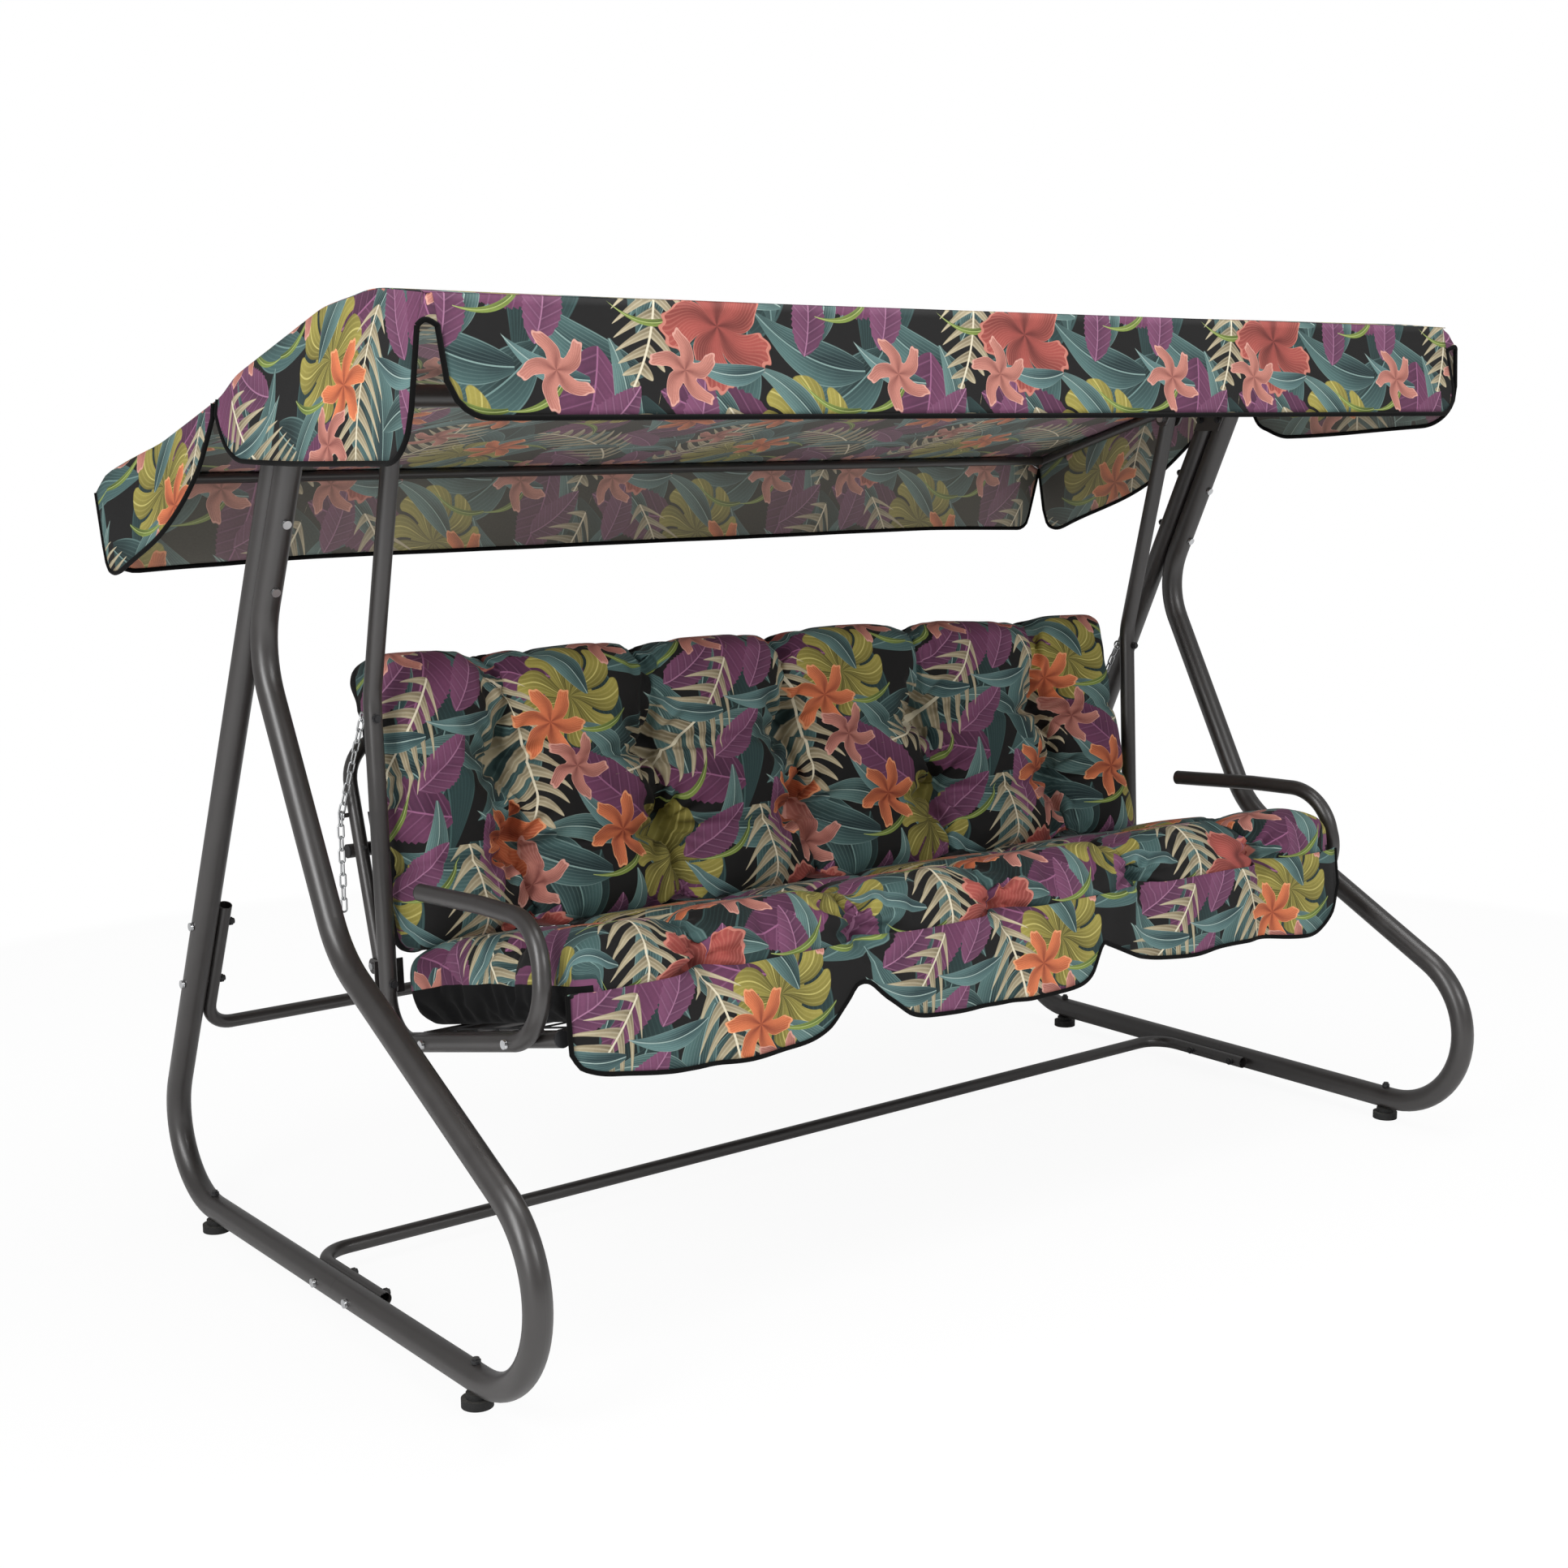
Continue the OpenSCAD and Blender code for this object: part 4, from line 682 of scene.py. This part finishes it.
def stuffed_pad(name, low, high, edge, tufts, rows, seam, stand, taper=0.0):
    """A pad between two corners in its own x, y and thickness: sewn, blown up, covered, refined, creased
    by its threads, and then stood in its place. taper narrows it towards its right end."""
    low, high = Vector(low), Vector(high)
    mesh = foam_block(name, low, high, edge)
    pad = bpy.data.objects.new(name + "_raw", mesh)
    bpy.context.scene.collection.objects.link(pad)
    cut = [v.co.copy() for v in mesh.vertices]
    sew_tufts(pad, tufts, low.z, seam, low.y)
    blow_up(pad)
    cover(mesh, cut, low, high, edge, seam)
    fine = pad.modifiers.new("fine", "SUBSURF")
    fine.levels = fine.render_levels = 1
    mesh = settled_mesh(pad)
    bpy.data.objects.remove(pad)

    columns = [place.x for place, _, _, _ in tufts if place.y == tufts[0][0].y]
    shape = bmesh.new()
    shape.from_mesh(mesh)
    shape.normal_update()
    moves = []
    for v in shape.verts:
        share = max(0.0, min(1.0, (v.normal.z + 0.45) / 0.4))
        depth = share * crease_depth(v.co, columns, rows, tufts) if share else 0.0
        moves.append(v.normal * -depth)
    for v, move in zip(shape.verts, moves):
        v.co += move
        v.co.y *= 1 - taper * eased(v.co.x, 0.1, 0.9)
    shape.transform(stand)
    shape.to_mesh(mesh)
    shape.free()
    mesh.name = name
    return mesh


DOWN = Vector((0, 0, -1))
SEAT_SEAM, SEAT_ROWS = 0.070, (-0.360, -0.120)
seat_stand = Matrix(((1, 0, 0, 0), (0, 0.976, 0.2177, 0.1165), (0, -0.2177, 0.976, 0.4118), (0, 0, 0, 1)))
seat_low, seat_high = (-0.909, -0.618, 0.0143), (0.909, -0.014, 0.156)
seat_tufts = [(Vector((x, -0.608, 0.088)), Vector((0, 0.97, -0.24)), 0.032, 0.028) for x in TUFTS_X]
seat_tufts += [(Vector((x, y, 0.137)), DOWN, 0.036, 0.032) for y in SEAT_ROWS for x in TUFTS_X]
mesh = stuffed_pad("seat_pad", seat_low, seat_high, 0.038, seat_tufts, SEAT_ROWS, SEAT_SEAM, seat_stand)
seat_pad = piece_from("seat_pad", mesh, "swing", "printed_cloth", "seat_cushion")

# ---------------------------------------------------------------------------------------------
# Apron: one strip of the printed cloth, cut in three scallops, sewn under the cushion's front seam,
# with black tape bound round its edge.

SHEET_THICKNESS = 0.0016
TAPE, WIDE_TAPE = 0.0042, 0.0044


def steps_along(span, steps):
    return [span[0] + (span[1] - span[0]) * i / steps for i in range(steps + 1)]


def shaped_sheet(name, columns, rows, place):
    """A sheet from two numbers from 0 to 1: place gives the point and its place on the flat cloth"""
    shape = bmesh.new()
    bmesh.ops.create_grid(shape, x_segments=columns, y_segments=rows, size=0.5)
    sheet_uv = shape.loops.layers.uv.new("cut")
    points = {v: place(v.co.x + 0.5, v.co.y + 0.5) for v in shape.verts}
    for face in shape.faces:
        face.smooth = True
        for loop in face.loops:
            loop[sheet_uv].uv = points[loop.vert][1]
    for v, (point, _) in points.items():
        v.co = point
    mesh = bpy.data.meshes.new(name)
    shape.to_mesh(mesh)
    shape.free()
    return mesh


def hang_cloth(name, span, hem, stand, uv_from):
    """A sheet between two places along its seam, that hangs as deep as hem says at each place. stand
    gives the point for a place along the seam, a depth, and the share of the depth."""
    def hung(i, j):
        along, share = span[0] + (span[1] - span[0]) * i, 1 - j
        depth = hem(along) * share
        return stand(along, depth, share), (uv_from[0] + along, uv_from[1] - depth)

    return shaped_sheet(name, max(round((span[1] - span[0]) / 0.012), 8), 14, hung)


def hem_line(stand, span, hem, steps):
    """Points along a sheet's lower edge, for its tape"""
    return [stand(along, hem(along), 1) for along in steps_along(span, steps)]


def bound_edge(name, points, radius, body):
    """Tape bound round an edge, as a thin tube along the points"""
    line = bpy.data.curves.new(name, "CURVE")
    line.dimensions = "3D"
    line.bevel_depth = radius
    line.bevel_resolution = 2
    line.use_fill_caps = True
    spline = line.splines.new("POLY")
    spline.points.add(len(points) - 1)
    for point, place in zip(spline.points, points):
        point.co = (*place, 1)
    loose = bpy.data.objects.new(name + "_line", line)
    bpy.context.scene.collection.objects.link(loose)
    mesh = settled_mesh(loose)
    bpy.data.objects.remove(loose)
    for face in mesh.polygons:
        face.use_smooth = True
    mesh.materials.clear()
    mesh.materials.append(tape_cloth)
    return piece_from(name, mesh, body, "printed_cloth")


def rounded_drop(along, start, end, drop, radius):
    """The depth of a panel with rounded lower corners"""
    inset = min(along - start, end - along)
    if inset >= radius:
        return drop
    return drop - radius + math.sqrt(max(radius ** 2 - (radius - max(inset, 0)) ** 2, 0))


def sheet_area(span, hem):
    """Area of the flat cloth, as a sum of narrow strips"""
    strips = 400
    width = (span[1] - span[0]) / strips
    return sum(hem(span[0] + width * (i + 0.5)) for i in range(strips)) * width


def printed_piece(name, mesh, body, *replaced, inside=None):
    """A sheet with the print on its outer side, and on its inner side the print as it shows through"""
    mesh.materials.append(print_cloth)
    if inside:
        mesh.materials.append(inside)
    made = piece_from(name, mesh, body, "printed_cloth", *replaced)
    solid = made.modifiers.new("thickness", "SOLIDIFY")
    solid.thickness = SHEET_THICKNESS
    solid.offset = 0
    solid.material_offset = 1 if inside else 0
    return made


def through(points, at):
    """Height of a smooth line through points in order of place"""
    last = len(points) - 1
    at = max(points[0][0], min(points[last][0], at))
    i = max(k for k in range(last) if points[k][0] <= at)
    slopes = []
    for k in (i, i + 1):
        (x0, z0), (x1, z1) = points[max(k - 1, 0)], points[min(k + 1, last)]
        slopes.append((z1 - z0) / (x1 - x0))
    (x0, z0), (x1, z1) = points[i], points[i + 1]
    run = x1 - x0
    t = (at - x0) / run
    return (z0 + (z1 - z0) * t * t * (3 - 2 * t) + slopes[0] * run * t * (1 - t) ** 2
            - slopes[1] * run * t * t * (1 - t))


apron_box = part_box("seat_apron")
APRON_HEM = ((-0.9245, 0.515), (-0.905, 0.489), (-0.82, 0.468), (-0.69, 0.456), (-0.50, 0.453),
             (-0.43, 0.472), (-0.385, 0.510), (-0.364, 0.534), (-0.336, 0.534), (-0.30, 0.502),
             (-0.25, 0.467), (-0.19, 0.454), (0.0, 0.446), (0.14, 0.448), (0.19, 0.466), (0.222, 0.515),
             (0.24, 0.512), (0.33, 0.474), (0.42, 0.461), (0.64, 0.460), (0.80, 0.446), (0.84, 0.453),
             (0.885, 0.485), (0.9145, 0.535))


def apron_hem(x):
    return apron_box[1].z - through(APRON_HEM, x)


# The apron lies on the cushion's front, which is sounded for it every 6 mm along the seam and every 5 mm
# below it. It stays 3 mm clear, and past the cushion's round ends it keeps the last sounding.
pad_shape = bmesh.new()
pad_shape.from_mesh(seat_pad.data)
pad_front = BVHTree.FromBMesh(pad_shape)
pad_shape.free()
span = (apron_box[0].x + 0.001, apron_box[1].x - 0.001)
ALONG, DOWNWARDS, SOUNDINGS = 0.006, 0.005, 36
PAD_END, CLEARANCE = 0.893, 0.003


def pushed_lines():
    """How far forward the apron is pushed, at each step along the seam and each step below it. A line takes
    the foremost of its neighbours and then their mean, so that no fold of the cushion comes through."""
    lines = []
    for i in range(math.ceil((span[1] - span[0]) / ALONG) + 2):
        x = max(-PAD_END, min(PAD_END, span[0] + ALONG * i))
        line, foremost = [], 0.0
        for k in range(SOUNDINGS):
            hit = pad_front.ray_cast(Vector((x, -1, apron_box[1].z - DOWNWARDS * k)), Vector((0, 1, 0)))[0]
            foremost = min(foremost, hit.y - CLEARANCE if hit else 0.0)
            line.append(foremost or apron_box[0].y + 0.002)
        lines.append(line)
    for blend in (min, lambda near: sum(near) / len(near)):
        lines = [[blend(near) for near in zip(*lines[max(i - 2, 0):i + 3])] for i in range(len(lines))]
    return lines


FRONT_LINES = pushed_lines()


def apron_stand(x, depth, share):
    along, down = (x - span[0]) / ALONG, depth / DOWNWARDS
    i, k = int(along), int(down)
    near, far = [line[k] + (line[k + 1] - line[k]) * (down - k) for line in FRONT_LINES[i:i + 2]]
    y = near + (far - near) * (along - i)
    wave = 0.005 * math.sin(x * 17) + 0.003 * math.sin(x * 41 + 1) * share
    return Vector((x, y - share ** 1.5 * (0.006 + wave), apron_box[1].z - depth))


mesh = hang_cloth("apron", span, apron_hem, apron_stand, (0.0, -0.80))
apron = printed_piece("apron", mesh, "swing", "seat_apron")
edge = hem_line(apron_stand, span, apron_hem, 240)
sides = [[apron_stand(x, apron_hem(x) * share, share) for share in (0.02, 0.35, 0.7)] for x in span]
apron_tape = bound_edge("apron_tape", sides[0] + edge + sides[1][::-1], TAPE, "swing")
sheet_area(span, apron_hem)

# ---------------------------------------------------------------------------------------------
# Back cushion: the same make as the seat's, tied against the back net, with two tufts to a column.

back_stand = Matrix(((1, 0, 0, 0), (0, 0.274, -0.962, 0.1883), (0, 0.962, 0.274, 0.5300), (0, 0, 0, 1)))
back_low, back_high = (-0.908, 0.004, 0.0143), (0.908, 0.534, 0.156)
BACK_SEAM, BACK_ROWS = 0.080, (0.165, 0.325)
back_tufts = [(Vector((x, y, 0.137)), DOWN, 0.052, 0.030) for y in BACK_ROWS for x in TUFTS_X]
mesh = stuffed_pad("back_pad", back_low, back_high, 0.034, back_tufts, BACK_ROWS, BACK_SEAM, back_stand,
                   taper=0.06)
back_pad = piece_from("back_pad", mesh, "backrest", "printed_cloth", "back_cushion")

# ---------------------------------------------------------------------------------------------
# Canopy: one sheet of the printed cloth stretched over the two bent tubes and the end bars, with
# valances and side flaps sewn to its edge, all bound with black tape. Inside, the print shows faded,
# and is painted lighter for the daylight that comes through the cloth.

CLOTH_X, FREE_X = 1.153, 1.125
RIDGE_Y, RIDGE_Z = -0.323, 1.6487
FRONT_Y, REAR_Y = -0.488, 0.622
FRONT_FALL, REAR_FALL = math.radians(5.7), math.radians(16.2)
TUBE_BEND = 0.400
roof_start, roof_end = FRONT_Y - 0.0103, REAR_Y + 0.0103
roof_length = (RIDGE_Y - roof_start) / math.cos(FRONT_FALL) + (roof_end - RIDGE_Y) / math.cos(REAR_FALL)


def roof_z(y):
    """Height of the cloth over the tubes, which fall off both ways from their bend at the ridge"""
    off = y - RIDGE_Y
    tube = RIDGE_Z + off * math.tan(FRONT_FALL) if off < 0 else RIDGE_Z - off * math.tan(REAR_FALL)
    near = max(0.0, 1 - abs(off) / (TUBE_BEND * (FRONT_FALL + REAR_FALL) / 2))
    return tube + 0.0118 - 0.0074 * near ** 2


def seam_lift(y):
    """How far the stiff seam of the front flap stands up from the tube, between ridge and notch"""
    return 0.015 * eased(y, -0.30, -0.17) * (1 - eased(y, 0.11, 0.20))


EAR_OUT, EAR_BACK, EAR_DROOP = 0.028, 0.046, 0.40


def drooped_ear(point, depth=0.0):
    """The cloth is cut wider than the frame at the rear: its corners stand out past the tubes, and droop"""
    near = eased(abs(point.x), CLOTH_X - 0.20, CLOTH_X) * eased(point.y, REAR_Y - 0.20, REAR_Y + 0.01)
    share = near * (1 - 0.5 * min(depth / 0.16, 1))
    x, y = abs(point.x) + EAR_OUT * share, point.y + EAR_BACK * share
    past = max(x - 1.150, 0) + max(y - 0.632, 0)
    return Vector((math.copysign(x, point.x), y, point.z - EAR_DROOP * past * share))


def turned_round(mesh):
    """The same sheet with its other side out"""
    shape = bmesh.new()
    shape.from_mesh(mesh)
    bmesh.ops.reverse_faces(shape, faces=shape.faces)
    shape.to_mesh(mesh)
    shape.free()
    return mesh


def roof_place(i, j):
    """The roof is taut over the tubes and sags a little between them"""
    x = (2 * i - 1) * CLOTH_X
    y = roof_start + (roof_end - roof_start) * j
    slack = max(0.0, 1 - (x / FREE_X) ** 2)
    hung = math.sin(math.pi * j) ** 0.8 * slack
    sag = 0.010 * hung + 0.0015 * hung * math.sin(x * 9 + y * 5)
    lift = seam_lift(y) * eased(abs(x), 0.90, CLOTH_X)
    return drooped_ear(Vector((x, y, roof_z(y) - sag + lift))), (x, roof_length * j)


mesh = shaped_sheet("canopy_top", 96, 60, roof_place)
canopy_top = printed_piece("canopy_top", mesh, "canopy", "canopy_roof", inside=print_inside_painted_light)

# The valances and flaps hang from a seam just below and outside the roof's edge. The front valance
# leans outwards, and from its ends the tape runs up to the corner pieces, CORNER_DROP below the roof.
SEAM = 0.0006
CORNER_DROP = 0.046
VALANCE_X = 1.1425
front_top = Vector((0, roof_start - SEAM, roof_z(roof_start) - SEAM))
lean = math.radians(15.5)


def front_hem(x):
    return rounded_drop(x, -VALANCE_X - 0.0005, VALANCE_X + 0.0005, 0.176, 0.060)


def front_stand(x, depth, share):
    wave = 0.0035 * math.sin(x * 11 + 0.6) * share + 0.002 * math.sin(x * 29) * share ** 2
    return front_top + Vector((x, -depth * math.sin(lean) + wave, -depth * math.cos(lean)))


span = (-VALANCE_X, VALANCE_X)
mesh = hang_cloth("valance_front", span, front_hem, front_stand, (0.0, 0.0))
valance_front = printed_piece("valance_front", mesh, "canopy", "front_valance", inside=print_inside_painted_light)
ends = [front_stand(x, CORNER_DROP, 0.3) for x in span]
edge = [ends[0]] + hem_line(front_stand, span, front_hem, 200) + [ends[1]]
front_tape = bound_edge("valance_front_tape", edge, WIDE_TAPE, "canopy")
sheet_area(span, front_hem)

# The rear valance hangs straight down
rear_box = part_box("rear_valance")


def rear_hem(x):
    return rounded_drop(x, rear_box[0].x, rear_box[1].x, 0.160, 0.045)


def rear_stand(x, depth, share):
    """The rear valance hangs lower at its ends, and is gathered in towards its right end's hem"""
    wave = 0.004 * math.sin(x * 10 + 2) * share + 0.002 * math.sin(x * 27) * share ** 2
    low = 0.008 * eased(abs(x), 0.75, 1.10) * share
    across = x - 0.035 * share * eased(x, 0.90, 1.14)
    place = Vector((across, roof_end + SEAM + wave + 0.003 * share, roof_z(roof_end) - SEAM - depth - low))
    return drooped_ear(place, depth)


span = (rear_box[0].x + 0.0005, rear_box[1].x - 0.0005)
mesh = turned_round(hang_cloth("valance_rear", span, rear_hem, rear_stand, (0.0, 1.2)))
valance_rear = printed_piece("valance_rear", mesh, "canopy", "rear_valance", inside=print_backlit)
edge = [rear_stand(span[0], 0, 0)] + hem_line(rear_stand, span, rear_hem, 200) + [rear_stand(span[1], 0, 0)]
rear_tape = bound_edge("valance_rear_tape", edge, WIDE_TAPE, "canopy")
sheet_area(span, rear_hem)

# The side flaps, with a notch between them where the leg passes, and their hem level with SIDE_HEM
SIDE_HEM = 1.411


def edge_height(y):
    return roof_z(y) - SEAM + seam_lift(y)


def side_flaps(hand, notch):
    """The front and rear flap of one side, with a notch between them: the hem of each as points along Y.
    The right front flap's hem is cut higher towards the front."""
    edge, corner = notch - 0.010, 0.075
    turns = [math.radians(15 * i) for i in range(7)]
    front = [(FRONT_Y - 0.002 + corner * (1 - math.cos(a)), SIDE_HEM + corner * (1 - math.sin(a)))
             for a in turns]
    front += [(edge - 0.115, SIDE_HEM), (edge - 0.060, SIDE_HEM + 0.018), (edge - 0.025, SIDE_HEM + 0.045)]
    if hand == "right":
        front = [(y, z + 0.010 + 0.032 * (edge - y) / (edge - FRONT_Y)) for y, z in front]
    front.append((edge, edge_height(edge) - 0.025))
    start, run = notch + 0.010, roof_end - notch - 0.010
    back = [(y, edge_height(y) - drop) for y, drop in (
        (start, 0.025), (start + 0.15 * run, 0.090), (start + 0.45 * run, 0.153),
        (roof_end - 0.075, 0.179), (roof_end - 0.040, 0.178))]
    back += [(roof_end - inset, edge_height(roof_end) - drop) for inset, drop in (
        (0.015, 0.160), (0.003, 0.138), (0.0, 0.112))]
    return (("front", front), ("rear", back))


for hand, sign, notch in (("left", -1, 0.207), ("right", 1, 0.027)):
    for which, hem_points in side_flaps(hand, notch):
        span = (hem_points[0][0], hem_points[-1][0])

        def flap_hem(y):
            return edge_height(y) - through(hem_points, y)

        def flap_stand(y, depth, share):
            """The flap flares out as it falls, and its front end stands on a round shoulder"""
            flare = max(0.016 * depth / 0.18 + 0.0035 * math.sin(y * 19 + sign) * share, 0)
            shoulder = eased(depth, 0, 0.05) * (1 - eased(y, FRONT_Y, -0.28))
            out = CLOTH_X + SEAM + flare + 0.016 * shoulder
            return drooped_ear(Vector((sign * out, y - 0.020 * shoulder, edge_height(y) - depth)), depth)

        name = f"flap_{which}_{hand}_cloth"
        mesh = hang_cloth(name, span, flap_hem, flap_stand, (0.3 * sign, 0.5))
        if hand == "left":
            turned_round(mesh)
        flap = printed_piece(name, mesh, "canopy", f"flap_{which}_{hand}", inside=print_inside_painted_light)
        bare = CORNER_DROP if which == "front" else 0
        edge = [flap_stand(span[0], bare, 0)] + hem_line(flap_stand, span, flap_hem, 90)
        edge.append(flap_stand(span[1], 0, 0))
        flap_tape = bound_edge(f"flap_{which}_{hand}_tape", edge, TAPE, "canopy")
        sheet_area(span, flap_hem)

        # The corner piece that joins the flap to the front valance, down to the top of the slit
        if which == "front":
            def corner_place(i, j):
                drop = (CORNER_DROP - 0.008 * math.sin(math.pi * i)) * j
                flap_edge, valance_edge = flap_stand(span[0], drop, 0), front_stand(sign * VALANCE_X, drop, 0)
                bulge = Vector((sign, -1, 0)) * (0.006 * math.sin(math.pi * i) * eased(j, 0, 0.4))
                return flap_edge.lerp(valance_edge, i) + bulge, (0.3 * sign + span[0] - 0.035 * i, 0.5 - drop)

            mesh = shaped_sheet(f"canopy_corner_{hand}", 6, 8, corner_place)
            if hand == "left":
                turned_round(mesh)
            corner = printed_piece(f"canopy_corner_{hand}", mesh, "canopy", inside=print_inside_painted_light)
            rim = [corner_place(i / 8, 1)[0] for i in range(9)]
            corner_tape = bound_edge(f"canopy_corner_{hand}_tape", rim, TAPE, "canopy")
